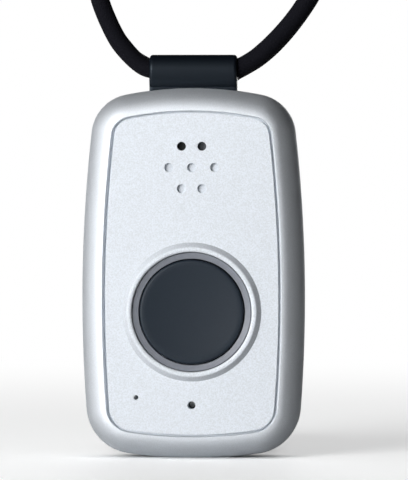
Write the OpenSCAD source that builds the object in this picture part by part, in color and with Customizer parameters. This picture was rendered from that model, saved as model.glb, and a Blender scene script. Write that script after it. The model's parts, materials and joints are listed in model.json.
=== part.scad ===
// Mobile medical alert device: a pendant with one help button on a neck cord.
// It stands upright: X is its width, Z its height, and its face looks towards -Y.
// The pieces are drawn lying on their back, with the face up, and upright() turns them.

/* [Body] */
// Width across the widest level
body_w = 45; // [43:0.5:50]
// Height from the land that it stands on to the crown
body_h = 74.5; // [73:0.5:82]
// Height of the widest level
widest_z = 32; // [26:0.5:38]
// Radius of the long sides
side_r = 300; // [200:5:500]
// Radius of the top edge
crown_r = 70; // [55:1:120]
// Radius of the bottom edge
base_r = 90; // [60:1:140]
// Radius of the top corners
top_corner_r = 8.6; // [8.2:0.2:12]
// Radius of the bottom corners
bottom_corner_r = 9.8; // [8.2:0.2:13]
// How much the standing land cuts off the bottom edge
land_cut = 0.25; // [0.1:0.05:0.4]

/* [Shells] */
// Wall thickness of both shells
wall = 1.8; // [1.5:0.1:2.2]
// Thickness of the front wall under the face plate
front_wall_t = 1.6; // [1.5:0.1:2]
// Radius of the rounded front edge
front_edge_r = 7.8; // [7.2:0.1:8]
// Radius of the rounded back edge
back_edge_r = 7; // [6.6:0.1:8]
// Depth of the straight band between the two rounded edges
side_band = 1; // [0.8:0.1:2]
// Width of the rim round the face plate
rim_w = 4.7; // [4.2:0.1:5]
// Bevel on the rim's inner edge
rim_bevel = 0.35; // [0.2:0.05:0.5]
// Bevel on each side of the joint line
seam_bevel = 0.15; // [0.1:0.05:0.3]

/* [Seal] */
// Width of the seal gasket
gasket_w = 0.6; // [0.5:0.05:0.7]
// Depth of the gasket's groove in the rear cover
gasket_depth = 0.8; // [0.6:0.1:1]
// Depth of the gasket's groove in the front housing
gasket_rise = 0.3; // [0.2:0.1:0.5]
// Distance from the outline to the gasket's groove
gasket_inset = 0.6; // [0.5:0.05:0.7]

/* [Face plate] */
// Thickness of the face plate
plate_t = 1; // [0.9:0.1:1.2]
// Width of the groove round the face plate
plate_groove = 0.38; // [0.25:0.01:0.5]
// Bevel round the top of the face plate
plate_bevel = 0.12; // [0.05:0.01:0.2]
// Height of the raised ring
ridge_h = 0.9; // [0.6:0.1:1.2]
// Width of the raised ring's inner side, from its hole to the crest
ridge_inner_w = 0.55; // [0.4:0.05:0.8]
// Width of the raised ring's outer side, from the crest to where it meets the plate
ridge_outer_w = 1.5; // [1.2:0.1:1.8]
// Clearance between the light ring and the face plate
ridge_gap = 0.15; // [0.1:0.05:0.25]

/* [Sound holes] */
// Diameter of the holes and dimples
sound_d = 1.75; // [1.4:0.05:2]
// Depth of the blind dimples
dimple_depth = 0.45; // [0.2:0.05:0.5]
// Distance from the crown to the middle of the pattern
sound_drop = 16; // [15:0.1:17]
// Distance from the middle hole to its neighbours at the sides
sound_side = 4.6; // [4:0.1:5]
// Height between the rows
sound_row = 4.25; // [3.8:0.05:4.5]
// Half the distance between the holes of the upper and lower rows
sound_half = 2.05; // [1.8:0.05:2.4]

/* [Button] */
// Diameter of the button
button_d = 20.8; // [20:0.2:21.6]
// How far the button's middle lies below the middle of the body's height
button_low = 7.75; // [5:0.25:8]
// How far the button stands above the face plate
button_rise = 0.6; // [0.5:0.05:0.9]
// Travel of the button
button_travel = 0.6; // [0.4:0.05:0.65]
// Depth of the dish in the button
dish_depth = 0.5; // [0.2:0.1:0.8]
// Rounded rim of the button
button_round = 0.35; // [0.3:0.05:0.6]
// Clearance between the button and the light ring
button_gap = 0.3; // [0.25:0.05:0.4]
// Width of the button's flange past its face
button_flange_w = 1.3; // [1.1:0.1:1.5]
// Thickness of the button's flange
button_flange_t = 0.7; // [0.5:0.1:0.8]
// Clearance over the flange at rest
rest_gap = 0.2; // [0.1:0.05:0.25]
// Radius of the stem that presses the switch
stem_r = 2.2; // [1.6:0.1:2.4]

/* [Light ring] */
// Width of the visible light ring
light_w = 1.2; // [1:0.1:1.3]
// How far the light ring's outer edge stands above the face plate
light_rise = 0.45; // [0.3:0.05:0.5]
// Angle at which the light ring falls towards the button
light_slope = 30; // [10:5:35]
// Width of the light ring's flange past its face
light_flange_w = 1.3; // [1.2:0.1:1.6]
// Thickness of the light ring's flange
light_flange_t = 0.7; // [0.6:0.05:0.8]
// Thickness of the ring light board
ring_board_t = 0.2; // [0.15:0.05:0.3]
// Number of ring lights
ring_lights_n = 8; // [6:1:12]

/* [Button seal] */
// Thickness of the seal's web
web_t = 0.4; // [0.3:0.05:0.5]
// Width of the seal's outer bead
bead_w = 2; // [1.6:0.1:2.2]
// Wall of the retainer ring
retainer_w = 1.1; // [1:0.1:1.4]
// Thickness of the retainer's lip
retainer_t = 0.6; // [0.4:0.05:0.7]

/* [Main board] */
// Depth from the front wall to the main board
board_drop = 3.4; // [3.4:0.05:3.8]
// Thickness of the main board
board_t = 1; // [0.8:0.1:1.2]
// Distance from the outline to the board's edge
board_inset = 3.4; // [3.2:0.1:4]
// Clearance of the board's notch at the sides of the sleeve's neck
board_notch_side = 3; // [2.8:0.1:3.5]
// Clearance of the board's notch below the anchor pin
board_notch_low = 2.2; // [2:0.1:2.5]

/* [Fasteners] */
// Distance from the outline to the screws
boss_inset = 7; // [6.6:0.1:7.6]
// Radius of the screw bosses
boss_r = 2.2; // [2.1:0.1:2.5]
// Radius of the screw threads
screw_r = 0.8; // [0.7:0.05:0.9]
// Radius of the screw heads
head_r = 1.5; // [1.3:0.05:1.6]
// Thickness of the screw heads
head_t = 1; // [0.8:0.05:1.1]
// Depth of the screw heads below the back
head_sink = 0.3; // [0.2:0.05:0.4]
// Outer radius of the threaded inserts
insert_r = 1.45; // [1.3:0.05:1.6]
// Length of the threaded inserts
insert_l = 2.8; // [2:0.1:3]

/* [Speaker] */
// Diameter of the speaker
speaker_d = 15; // [14:0.5:15.5]
// Thickness of the speaker
speaker_t = 2.8; // [2.5:0.05:2.85]
// Thickness of the foam ring before the speaker
speaker_gasket_t = 0.4; // [0.35:0.05:0.45]
// Radius of the sound port in the front wall
port_r = 5.5; // [5.2:0.1:5.8]
// Thickness of the dust mesh
mesh_t = 0.15; // [0.1:0.05:0.25]

/* [Microphone] */
// Diameter of the microphone hole
mic_d = 1.5; // [1.2:0.1:1.8]
// Distance from the button's middle down to the microphone hole
mic_drop = 18.75; // [18.5:0.25:19.5]

/* [Status light] */
// Diameter of the light pipe's visible end
pipe_d = 0.85; // [0.7:0.05:1]
// Distance of the light pipe to the left of the middle
pipe_x = 11.2; // [10.5:0.1:12]
// Height of the light pipe above the standing land
pipe_z = 12.3; // [12:0.1:13]

/* [Battery] */
// Height of the battery's lower edge above the standing land
battery_low = 13; // [12:0.5:14]
// Width of the battery
battery_w = 27; // [24:0.5:27.5]
// Height of the battery
battery_h = 30; // [26:0.5:30.5]
// Thickness of the battery
battery_t = 3.9; // [3.4:0.1:4.2]
// Thickness of the gap between the board and the battery
battery_gap = 1.5; // [1.4:0.05:1.7]

/* [Radio parts] */
// Width of the cellular module
module_w = 15.8; // [14:0.2:16]
// Distance from the battery up to the cellular module
module_gap = 1.8; // [1.5:0.1:2.5]
// Distance from the crown down to the radio parts
radio_drop = 12; // [11.5:0.5:13]
// Thickness of the cellular module
module_t = 2.4; // [2:0.1:3]
// Width of the satellite antenna
patch_w = 12; // [10:0.5:12]
// Distance from the battery connector up to the satellite antenna
patch_gap = 2.5; // [2:0.1:3]
// Bare edge of the satellite antenna round its metal face
patch_edge = 1.5; // [1:0.1:2]
// Thickness of the satellite antenna
patch_t = 4; // [3:0.5:5]
// Width of the antenna film on the rear cover
film_w = 26; // [20:1:28]
// Thickness of the antenna film
film_t = 0.15; // [0.1:0.05:0.2]
// Distance from the battery up to the antenna film
film_gap = 4; // [3.5:0.1:5]
// Distance from the radio parts' top down to the antenna film
film_drop = 1.5; // [1:0.1:2]
// Reach of the antenna spring's leaf
leaf_l = 3; // [2.5:0.1:3.5]
// Width of the antenna spring's leaf
leaf_w = 1.2; // [1:0.1:1.5]

/* [Small parts] */
// Width of the subscriber card
card_w = 8.8; // [8.8:0.1:12]
// Height of the subscriber card
card_h = 12.3; // [12.3:0.1:15]
// Distance from the body's side to the middle of the card
card_side = 13.7; // [13:0.1:14.5]
// Distance from the battery's top down to the card's lower edge
card_drop = 16; // [14:0.5:18]
// Frame of the card holder round the card
card_frame = 0.8; // [0.6:0.1:1]
// Width of the battery connector
connector_w = 4.5; // [4:0.1:5]
// Height of the battery connector
connector_h = 3; // [2.5:0.1:3.5]
// Distance from the battery up to the battery connector
connector_gap = 2; // [1.5:0.1:2.5]
// Grid that the parts on the board are placed and sized by
board_grid = 0.5; // [0.4:0.05:0.5]

/* [Vibration motor] */
// Distance from the body's side to the motor's axis
motor_side = 7.6; // [7.4:0.1:8]
// Wall of the motor's rubber sleeve
motor_wall = 0.5; // [0.4:0.05:0.6]
// Radius of the motor
motor_r = 2.1; // [1.8:0.05:2.2]
// Length of the motor
motor_l = 8; // [7:0.5:9]
// Radius of the motor's shaft
shaft_r = 0.4; // [0.3:0.05:0.5]
// Radius of the motor's weight
weight_r = 2; // [1.6:0.1:2.1]

/* [Charging] */
// Radius of a charge contact
contact_r = 1; // [0.8:0.05:1.2]
// Half the distance between the charge contacts
contact_x = 3.5; // [3:0.25:5]
// Height of the charge contacts above the standing land
contact_z = 10; // [9:0.25:10.5]

/* [Neck cord] */
// Diameter of the cord
cord_d = 3.5; // [3.2:0.1:3.6]
// Clearance round the cord in the sleeve
cord_gap = 0.3; // [0.2:0.05:0.4]
// Outer radius of the sleeve
sleeve_r = 3; // [2.9:0.1:3.4]
// Width of the sleeve
sleeve_w = 17.7; // [17:0.1:20]
// Height of the sleeve's middle above the crown
sleeve_rise = 3.7; // [3.5:0.1:4.5]
// Rounded outer edge of the sleeve's ends
sleeve_round = 0.7; // [0.4:0.05:0.8]
// Thickness of the sleeve's neck
neck_t = 3; // [2.6:0.1:3.2]
// Rounded outer edge of the neck
neck_round = 0.2; // [0.1:0.05:0.4]
// Height above the crown where the sleeve has narrowed to its neck
neck_rise = 0.2; // [0.1:0.05:0.3]
// Clearance round the neck in the housing
neck_gap = 0.12; // [0.08:0.02:0.2]
// Radius of the anchor pin
anchor_r = 1; // [0.8:0.05:1.1]
// Depth of the anchor pin below the crown
anchor_drop = 3.8; // [3.6:0.1:4]

/* [Tied hank] */
// Half the width of the innermost loop
hank_in = 10.4; // [10:0.1:12]
// Half the length of the straight runs
hank_run = 12.5; // [11:0.5:14]
// Distance between neighbouring loops
hank_step = 4.3; // [4.2:0.05:4.6]
// How far the tie draws the runs in
hank_draw = 2; // [1:0.1:2.4]
// Distance between the two layers
hank_layer = 4.1; // [4:0.05:4.5]
// Distance of the hank's middle behind the object's middle
hank_y = 38; // [38:0.5:42]
// Width of the tie
tie_w = 5; // [3:0.5:7]
// Thickness of the tie
tie_t = 0.8; // [0.5:0.1:1]

/* [Breakaway clasp] */
// Outer radius of the clasp
clasp_r = 3; // [2.8:0.1:3.4]
// Length of each half of the clasp
clasp_l = 9; // [8:0.5:11]
// Depth of the cord's seat in the clasp
clasp_seat = 2; // [1.5:0.5:3]

/* [Hidden] */
$fn = 64;
eps = 0.01;
fit = 0.05;

// Segments of each arc of the outline and of the rounded edges
edge_steps = 4;
corner_steps = 8;
side_steps = 6;
round_steps = 7;

// Levels, counted towards the face from the joint between the rounded front edge and the side band
front_turn = acos(1 - (rim_w - rim_bevel) / front_edge_r);
plate_top = front_edge_r * sin(front_turn);
plate_seat = plate_top - plate_t;
ceiling = plate_seat - front_wall_t;
crest = plate_top + ridge_h;
joint_level = -side_band / 2;
back = -side_band - back_edge_r;
floor_level = back + wall;
mid_level = (crest + back) / 2;
board_top = ceiling - board_drop;
board_back = board_top - board_t;

// Clearances and steps that more than one piece takes
screw_gap = 0.2;
head_gap = 0.25;
board_hole_gap = 0.25;
speaker_fit = 0.2;
mesh_r = port_r + 0.5;
mesh_pocket_r = mesh_r + 0.2;
mic_bevel = 0.25;
tail_gap = 0.2;

// Button stack
button_r = button_d / 2;
button_z = body_h / 2 - button_low;
mic_z = button_z - mic_drop;
button_top = plate_top + button_rise;
flange_top = ceiling - rest_gap;
flange_under = flange_top - button_flange_t;
over_travel = 0.15;
web_top = flange_under - button_travel - over_travel;
web_under = web_top - web_t;
light_in_r = button_r + button_gap;
light_out_r = light_in_r + light_w;
light_top = plate_top + light_rise;
light_low = light_top - light_w * tan(light_slope);
light_flange_r = light_out_r + light_flange_w;
light_seat = plate_seat - light_flange_t;
ring_seat = light_seat - ring_board_t;
flange_r = button_r + button_flange_w;
flange_gap = 0.4;
bead_in_r = flange_r + flange_gap;
bead_out_r = bead_in_r + bead_w;
bead_gap = 0.2;
retainer_in_r = bead_out_r + bead_gap;
retainer_out_r = retainer_in_r + retainer_w;
ear_r = 1.6;
ear_reach = retainer_out_r + 0.8;
ear_peg_r = 0.7;
ear_t = 1;
switch_w = 5.2;
switch_h = 0.9;
plunger_r = 1.25;
plunger_rise = 0.7;
plunger_top = board_top + switch_h + plunger_rise;
tail_w = 2.4;
tail_reach = retainer_out_r + 0.5;
ridge_in_r = light_out_r + ridge_gap;
ridge_crest_r = ridge_in_r + ridge_inner_w;
ridge_toe_r = ridge_crest_r + ridge_outer_w;

// Speaker stack
sound_z = body_h - sound_drop;
speaker_r = speaker_d / 2;
speaker_top = ceiling - speaker_gasket_t;
speaker_under = speaker_top - speaker_t;
rib_in_r = speaker_r + speaker_fit;
rib_w = 1;
rib_h = 1.6;

// Radio parts and battery
battery_x = -3.7;
battery_top_z = battery_low + battery_h;
battery_front = board_back - battery_gap;
radio_top = body_h - radio_drop;
module_x = -1.9;
module_low = battery_top_z + module_gap;
module_h = radio_top - module_low;
lead_x = 6.5;
connector_z = battery_top_z + connector_gap;
patch_x = 1.5;
patch_low = connector_z + connector_h + patch_gap;
patch_h = radio_top - patch_low;
film_low = battery_top_z + film_gap;
film_h = radio_top - film_drop - film_low;
card_t = 0.67;
card_low = battery_top_z - card_drop;
card_x = card_side - body_w / 2;
motor_x = body_w / 2 - motor_side;
motor_low = 18;
motor_level = board_back - 2.6;
weight_gap = 0.4;
weight_l = 2.6;

// Microphone, status light and charging parts
mic_w = 3.5;
mic_h = 2.65;
mic_t = 1;
boot_r = 2.1;
boot_bore_r = 0.6;
light_w_t = [1, 0.6];
pipe_foot_r = 0.9;
pipe_gap = 0.2;
contact_flange_w = 0.6;
contact_flange_t = 0.6;
contact_top = floor_level + contact_flange_t;
spring_r = 0.9;
spring_pin_r = 0.5;
spring_h = 3;

// Neck cord
cord_r = cord_d / 2;
cord_sides = 8;
sleeve_z = body_h + sleeve_rise;
sleeve_bore_r = cord_r + cord_gap;
anchor_z = body_h - anchor_drop;
neck_low = anchor_z - anchor_r - 0.6;
inner_cord = 7;
hank_x = -2.5;
hank_sides = 6;
hank_clear = 0.3;
run_share = 1 / 6;
fold_share = 1 / 2 - run_share;
reverse_at = 1.5 + run_share / 2;
hank_turns = 2.5 + run_share;
clasp_at = [-17.5, 14];
clasp_z = 15.5;

// Route of the cord on each side of the sleeve, in object coordinates
left_route = [
    [-7, 0, 78.2], [-8.5, 0, 78.2], [-10, 0, 78.7], [-12, 0, 80.2], [-14, 0, 82.5], [-15.5, 0, 84.5],
    [-17.5, 0, 88.5], [-19, 0, 92.5], [-20, 0, 96.5], [-20.5, 1.5, 100.5], [-21, 5, 103.5],
    [-21, 9, 104], [-21, 13, 102], [-21, 15.5, 98.5], [-20.5, 16, 95], [-20, 16, 92.5],
    [-18.5, 16, 88.5], [-16.5, 16, 84.5], [-15, 16, 82.5], [-13, 16, 80.5], [-10.5, 16, 79],
    [-8, 16, 77.5], [-6.5, 16, 75], [-6, 16, 72], [-6, 16, 66], [-8, 15.5, 60], [-11, 15, 54],
    [-14.5, 14.5, 48], [-17, 14, 42], [-17.5, 14, 37], [-17.5, 14, 31.5]
];
right_route = [
    [7, 0, 78.2], [8.5, 0, 78.2], [10, 0, 78.7], [12.5, 0, 80.3], [15, 0, 82.5], [17.5, 0, 85],
    [20, 0, 88], [22.5, 0, 91.5], [24.5, 0, 95], [26, 1.5, 99.5], [26.5, 5, 102.5],
    [26.5, 9, 103], [26, 13, 101], [25, 15.5, 97.5], [23.5, 16, 94], [22, 16, 91.5],
    [19.5, 16, 88], [17, 16, 85], [14.5, 16, 82.5], [12, 16, 80.5], [9.5, 16, 79], [7, 16, 77.5],
    [5.5, 16, 75], [5, 16, 72], [5, 16, 66], [6.5, 15.5, 59], [9, 15, 52], [12, 14.5, 44],
    [14, 13.5, 36], [14.5, 13, 28], [14.5, 13, 20], [14.5, 13, 13], [14.5, 13, 9.75],
    [14.53, 13.39, 7.28], [14.57, 14.53, 5.05], [14.62, 16.3, 3.28], [14.67, 18.53, 2.14]
];
tail_route = [
    [-17.54, 18.98, 6.2], [-17.52, 16.97, 7.22], [-17.5, 15.38, 8.82], [-17.5, 14.35, 10.83],
    [-17.5, 14, 13.05], [-17.5, 14, 15], [-17.5, 14, 17.5]
];

// Turns a piece drawn with its face up to stand upright
module upright() {
    translate([0, mid_level, 0])
        rotate([90, 0, 0])
            children();
}

function unit(v) = v / norm(v);

// Where the circles round p and q cross, on the left of the way from p to q for side = 1
function crossing(p, rp, q, rq, side) =
    let (d = norm(q - p), u = (q - p) / d, a = (rp * rp - rq * rq + d * d) / (2 * d))
    p + a * u + side * sqrt(rp * rp - a * a) * [-u[1], u[0]];

function heading(v) = atan2(v[1], v[0]);

// Centres and turning angles of the outline's arcs on the right half
side_c = [body_w / 2 - side_r, widest_z];
crown_c = [0, body_h - crown_r];
base_c = [0, base_r - land_cut];
top_c = crossing(crown_c, crown_r - top_corner_r, side_c, side_r - top_corner_r, -1);
low_c = crossing(base_c, base_r - bottom_corner_r, side_c, side_r - bottom_corner_r, 1);
low_turn = heading(low_c - base_c);
side_low = heading(low_c - side_c);
side_top = heading(top_c - side_c);
top_turn = heading(top_c - crown_c);

function arc(c, r, a, b, steps) =
    [for (i = [0:steps - 1]) c + r * [cos(a + (b - a) * i / steps), sin(a + (b - a) * i / steps)]];

// Right half of the outline, inset by d, from the middle of the bottom to the middle of the top
function half_outline(d) = concat(
    arc(base_c, base_r - d, -90, low_turn, edge_steps),
    arc(low_c, bottom_corner_r - d, low_turn, side_low, corner_steps),
    arc(side_c, side_r - d, side_low, side_top, side_steps),
    arc(top_c, top_corner_r - d, side_top, top_turn, corner_steps),
    arc(crown_c, crown_r - d, top_turn, 90, edge_steps),
    [crown_c + [0, crown_r - d]]
);

function outline(d) =
    let (half = half_outline(d), n = len(half))
    concat(half, [for (i = [n - 2:-1:1]) [-half[i][0], half[i][1]]]);

// Solid between two flat caps, through rings of [inset, level]; its first cap looks up
module skin(rings) {
    loops = [for (r = rings) [for (p = outline(r[0])) [p[0], p[1], r[1]]]];
    n = len(loops[0]);
    last = (len(rings) - 1) * n;
    points = [for (l = loops, p = l) p];
    sides = [
        for (k = [0:len(rings) - 2], i = [0:n - 1])
            [k * n + i, k * n + (i + 1) % n, (k + 1) * n + (i + 1) % n, (k + 1) * n + i]
    ];
    polyhedron(
        points,
        concat([[for (i = [n - 1:-1:0]) i]], sides, [[for (i = [0:n - 1]) last + i]]),
        convexity = 6
    );
}

// Solid through loops of points, each turning the same way, with a flat cap at both ends
module loft(loops) {
    n = len(loops[0]);
    last = (len(loops) - 1) * n;
    sides = [
        for (k = [0:len(loops) - 2], i = [0:n - 1])
            let (a = k * n + i, b = k * n + (i + 1) % n)
            each [[a, b, b + n], [a, b + n, a + n]]
    ];
    polyhedron(
        [for (l = loops, p = l) p],
        concat([[for (i = [n - 1:-1:0]) i]], sides, [[for (i = [0:n - 1]) last + i]]),
        convexity = 10
    );
}

// Rings of a rounded edge of radius r round an outline inset by c, from angle a to b
function round_rings(c, r, level, a, b) =
    [for (i = [0:round_steps]) let (t = a + (b - a) * i / round_steps) [c - r * cos(t), level + r * sin(t)]];

module slab(inset, low, high) {
    translate([0, 0, low])
        linear_extrude(high - low)
            polygon(outline(inset));
}

module disc(x, z, r, low, high) {
    translate([x, z, low])
        cylinder(r = r, h = high - low);
}

module ring(x, z, r_in, r_out, low, high) {
    translate([x, z, low])
        difference() {
            cylinder(r = r_out, h = high - low);
            translate([0, 0, -eps])
                cylinder(r = r_in, h = high - low + 2 * eps);
        }
}

// Box centred at x, z with its levels given
module block(x, z, w, h, low, high) {
    translate([x - w / 2, z - h / 2, low])
        cube([w, h, high - low]);
}

// Flat piece with rounded corners
module round_block(x, z, w, h, r, low, high) {
    translate([x, z, low])
        linear_extrude(high - low) {
            square([w - 2 * r, h], center = true);
            square([w, h - 2 * r], center = true);
            for (i = [-1, 1], j = [-1, 1])
                translate([i * (w / 2 - r), j * (h / 2 - r)])
                    circle(r = r);
        }
}

// Middles of the four screws
function between(a, b) = unit([cos(a) + cos(b), sin(a) + sin(b)]);
boss_top = top_c + (top_corner_r - boss_inset) * between(side_top, top_turn);
boss_low = low_c + (bottom_corner_r - boss_inset) * between(side_low, low_turn);
bosses = [boss_top, boss_low, [-boss_low[0], boss_low[1]], [-boss_top[0], boss_top[1]]];

// Places of the sound holes: the upper two are open, the rest are dimples
open_holes = [for (s = [-1, 1]) [s * sound_half, sound_z + sound_row]];
dimples = concat(
    [for (k = [-1:1]) [k * sound_side, sound_z]],
    [for (s = [-1, 1]) [s * sound_half, sound_z - sound_row]]
);

ear_angles = [60, 180, 300];
function ear_at(a) = [0, button_z] + ear_reach * [cos(a), sin(a)];

// Slot for the sleeve's neck through the top of a shell, with the cut below the standing land
module neck_slot() {
    w = sleeve_w + 2 * neck_gap;
    t = neck_t + 2 * neck_gap;
    translate([-w / 2, anchor_z - anchor_r, mid_level - t / 2])
        cube([w, body_h, t]);
}

module under_land() {
    translate([-body_w, -body_h, back - 1])
        cube([2 * body_w, body_h, crest - back + 2]);
}

// Seats for the anchor pin on both sides of the neck
anchor_seat_w = 2;
anchor_half = sleeve_w / 2 + 0.4 + anchor_seat_w;
module anchor_seats(low, high) {
    for (s = [-1, 1])
        block(s * (anchor_half - anchor_seat_w / 2), anchor_z, anchor_seat_w, 2 * anchor_r + 1.6, low, high);
}

module front_housing() {
    inner_r = front_edge_r - wall;
    outer = round_rings(front_edge_r, front_edge_r, 0, front_turn, 0);
    inner = round_rings(front_edge_r, inner_r, 0, 0, asin(ceiling / inner_r));
    rings = concat(
        [[rim_w, plate_seat], [rim_w, plate_top - rim_bevel]],
        outer,
        [
            [0, joint_level + seam_bevel], [seam_bevel, joint_level],
            [gasket_inset, joint_level], [gasket_inset, joint_level + gasket_rise],
            [gasket_inset + gasket_w, joint_level + gasket_rise], [gasket_inset + gasket_w, joint_level],
            [wall, joint_level]
        ],
        inner
    );
    color("whitesmoke") upright() {
        difference() {
            union() {
                skin(rings);
                for (b = bosses)
                    disc(b[0], b[1], boss_r, board_top, ceiling + eps);
                ring(0, sound_z, rib_in_r, rib_in_r + rib_w, speaker_top - rib_h, ceiling + eps);
                for (a = ear_angles)
                    disc(ear_at(a)[0], ear_at(a)[1], ear_peg_r, ceiling - ear_t - 0.4, ceiling + eps);
                intersection() {
                    anchor_seats(mid_level + fit, ceiling + eps);
                    slab(wall + eps, joint_level, ceiling + eps);
                }
            }
            under_land();
            neck_slot();
            translate([0, anchor_z, mid_level])
                rotate([0, 90, 0])
                    cylinder(r = anchor_r + fit, h = 2 * anchor_half + 1, center = true);
            disc(0, button_z, light_in_r, ceiling - eps, plate_seat + eps);
            disc(0, button_z, light_flange_r + fit, ring_seat, plate_seat + eps);
            block(0, button_z + (light_flange_r + tail_reach) / 2, tail_w + 2 * tail_gap,
                tail_reach - light_flange_r + 6 * tail_gap, ring_seat, plate_seat + eps);
            block(0, button_z + tail_reach - ring_board_t / 2, tail_w + 2 * tail_gap,
                ring_board_t + 4 * tail_gap, ceiling - eps, plate_seat);
            disc(0, sound_z, port_r, ceiling - eps, plate_seat + eps);
            disc(0, sound_z, mesh_pocket_r, plate_seat - mesh_t, plate_seat + eps);
            disc(0, mic_z, mic_d / 2, ceiling - eps, plate_seat + eps);
            disc(-pipe_x, pipe_z, pipe_d / 2 + fit, ceiling - eps, plate_seat + eps);
            for (b = bosses)
                disc(b[0], b[1], insert_r, board_top - eps, board_top + insert_l);
        }
    }
}

// Section of the raised ring, from its upright inner face over the crest to its toe
function ridge_section() =
    let (n = 8, shoulder = 0.6)
    concat(
        [[ridge_in_r, plate_seat + 0.2], [ridge_in_r, plate_top + shoulder * ridge_h]],
        [
            for (i = [1:3])
                [ridge_crest_r - ridge_inner_w * cos(30 * i),
                    plate_top + (shoulder + (1 - shoulder) * sin(30 * i)) * ridge_h]
        ],
        [
            for (i = [1:n])
                [ridge_crest_r + ridge_outer_w * i / n,
                    plate_top + ridge_h * (1 + cos(180 * i / n)) / 2]
        ],
        [[ridge_toe_r, plate_seat + 0.2]]
    );

module face_plate() {
    edge = rim_w + plate_groove;
    color("gainsboro") upright() {
        difference() {
            union() {
                skin([[edge + plate_bevel, plate_top], [edge, plate_top - plate_bevel], [edge, plate_seat]]);
                translate([0, button_z, 0])
                    rotate_extrude()
                        polygon(ridge_section());
            }
            disc(0, button_z, ridge_in_r, plate_seat - eps, crest + eps);
            for (p = open_holes)
                disc(p[0], p[1], sound_d / 2, plate_seat - eps, plate_top + eps);
            for (p = dimples)
                disc(p[0], p[1], sound_d / 2, plate_top - dimple_depth, plate_top + eps);
            disc(0, mic_z, mic_d / 2, plate_seat - eps, plate_top + eps);
            translate([0, mic_z, plate_top - mic_bevel])
                cylinder(r1 = mic_d / 2, r2 = mic_d / 2 + mic_bevel + eps, h = mic_bevel + eps);
            disc(-pipe_x, pipe_z, pipe_d / 2 + fit, plate_seat - eps, plate_top + eps);
        }
    }
}

module rear_cover() {
    inner_r = back_edge_r - wall;
    inner = round_rings(back_edge_r, inner_r, -side_band, -90, 0);
    outer = round_rings(back_edge_r, back_edge_r, -side_band, 0, -90);
    rings = concat(
        inner,
        [
            [wall, joint_level],
            [gasket_inset + gasket_w, joint_level], [gasket_inset + gasket_w, joint_level - gasket_depth],
            [gasket_inset, joint_level - gasket_depth], [gasket_inset, joint_level],
            [seam_bevel, joint_level], [0, joint_level - seam_bevel]
        ],
        outer
    );
    color("whitesmoke") upright() {
        difference() {
            union() {
                skin(rings);
                for (b = bosses)
                    disc(b[0], b[1], boss_r, floor_level - eps, board_back);
                intersection() {
                    anchor_seats(floor_level - eps, mid_level - fit);
                    slab(wall + eps, floor_level - eps, joint_level);
                }
            }
            under_land();
            neck_slot();
            translate([0, anchor_z, mid_level])
                rotate([0, 90, 0])
                    cylinder(r = anchor_r + fit, h = 2 * anchor_half + 1, center = true);
            for (b = bosses) {
                disc(b[0], b[1], screw_r + screw_gap, back - eps, board_back + eps);
                disc(b[0], b[1], head_r + head_gap, back - eps, back + head_sink + head_t);
            }
            for (s = [-1, 1])
                disc(s * contact_x, contact_z, contact_r + fit, back - eps, floor_level + eps);
        }
    }
}

module seal_gasket() {
    color("dimgray") upright()
        difference() {
            slab(gasket_inset, joint_level - gasket_depth, joint_level + gasket_rise);
            slab(gasket_inset + gasket_w, joint_level - gasket_depth - 1, joint_level + gasket_rise + 1);
            neck_slot();
        }
}

module cover_screws() {
    seat = back + head_sink + head_t;
    color("silver") upright()
        for (b = bosses)
            difference() {
                union() {
                    disc(b[0], b[1], head_r, seat - head_t, seat);
                    disc(b[0], b[1], screw_r, seat - eps, board_top + insert_l - 0.4);
                }
                translate([b[0], b[1], seat - head_t - eps])
                    cylinder(r = 0.8, h = 0.5, $fn = 6);
            }
}

module threaded_inserts() {
    color("goldenrod") upright()
        for (b = bosses)
            ring(b[0], b[1], screw_r, insert_r, board_top, board_top + insert_l);
}

// Section of the button: dished face, rounded rim, flange and stem
function button_section() = concat(
    [
        [0, plunger_top + 0.1], [stem_r, plunger_top + 0.1], [stem_r, flange_under],
        [flange_r, flange_under], [flange_r, flange_top], [button_r, flange_top]
    ],
    [
        for (i = [0:4])
            [button_r - button_round * (1 - cos(22.5 * i)), button_top - button_round * (1 - sin(22.5 * i))]
    ],
    [
        for (i = [0:5])
            let (f = 1 - i / 5, r = (button_r - button_round - 0.5) * f)
            [r, button_top - dish_depth * (1 - f * f)]
    ]
);

module button_cap() {
    color("darkslategray") upright()
        translate([0, button_z, 0])
            rotate_extrude()
                polygon(button_section());
}

module light_ring() {
    color("lightslategray") upright()
        difference() {
            translate([0, button_z, 0])
                rotate_extrude()
                    polygon([
                        [light_in_r, light_seat], [light_flange_r, light_seat], [light_flange_r, plate_seat],
                        [light_out_r, plate_seat], [light_out_r, light_top], [light_in_r, light_low]
                    ]);
            ring(0, button_z, light_in_r + 0.5, light_flange_r - 0.5, light_seat - eps, plate_seat - 0.15);
        }
}

module ring_board() {
    color("darkgreen") upright() {
        ring(0, button_z, light_in_r + 0.1, light_flange_r - 0.1, ring_seat, light_seat);
        block(0, button_z + (light_flange_r + tail_reach) / 2 - 0.2, tail_w,
            tail_reach - light_flange_r + 0.4, ring_seat, light_seat);
        block(0, button_z + tail_reach - ring_board_t / 2, tail_w, ring_board_t, board_top, light_seat);
    }
}

module ring_lights() {
    r = (light_in_r + light_flange_r) / 2;
    color("ivory") upright()
        for (i = [0:ring_lights_n - 1])
            translate([0, button_z, 0])
                rotate([0, 0, 360 * (i + 0.5) / ring_lights_n])
                    block(r, 0, 0.6, 1, light_seat, light_seat + 0.4);
}

module button_seal() {
    color("gray") upright() {
        ring(0, button_z, bead_in_r, bead_out_r, web_under, ceiling);
        ring(0, button_z, stem_r + flange_gap, bead_in_r + 0.1, web_under, web_top);
    }
}

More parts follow.
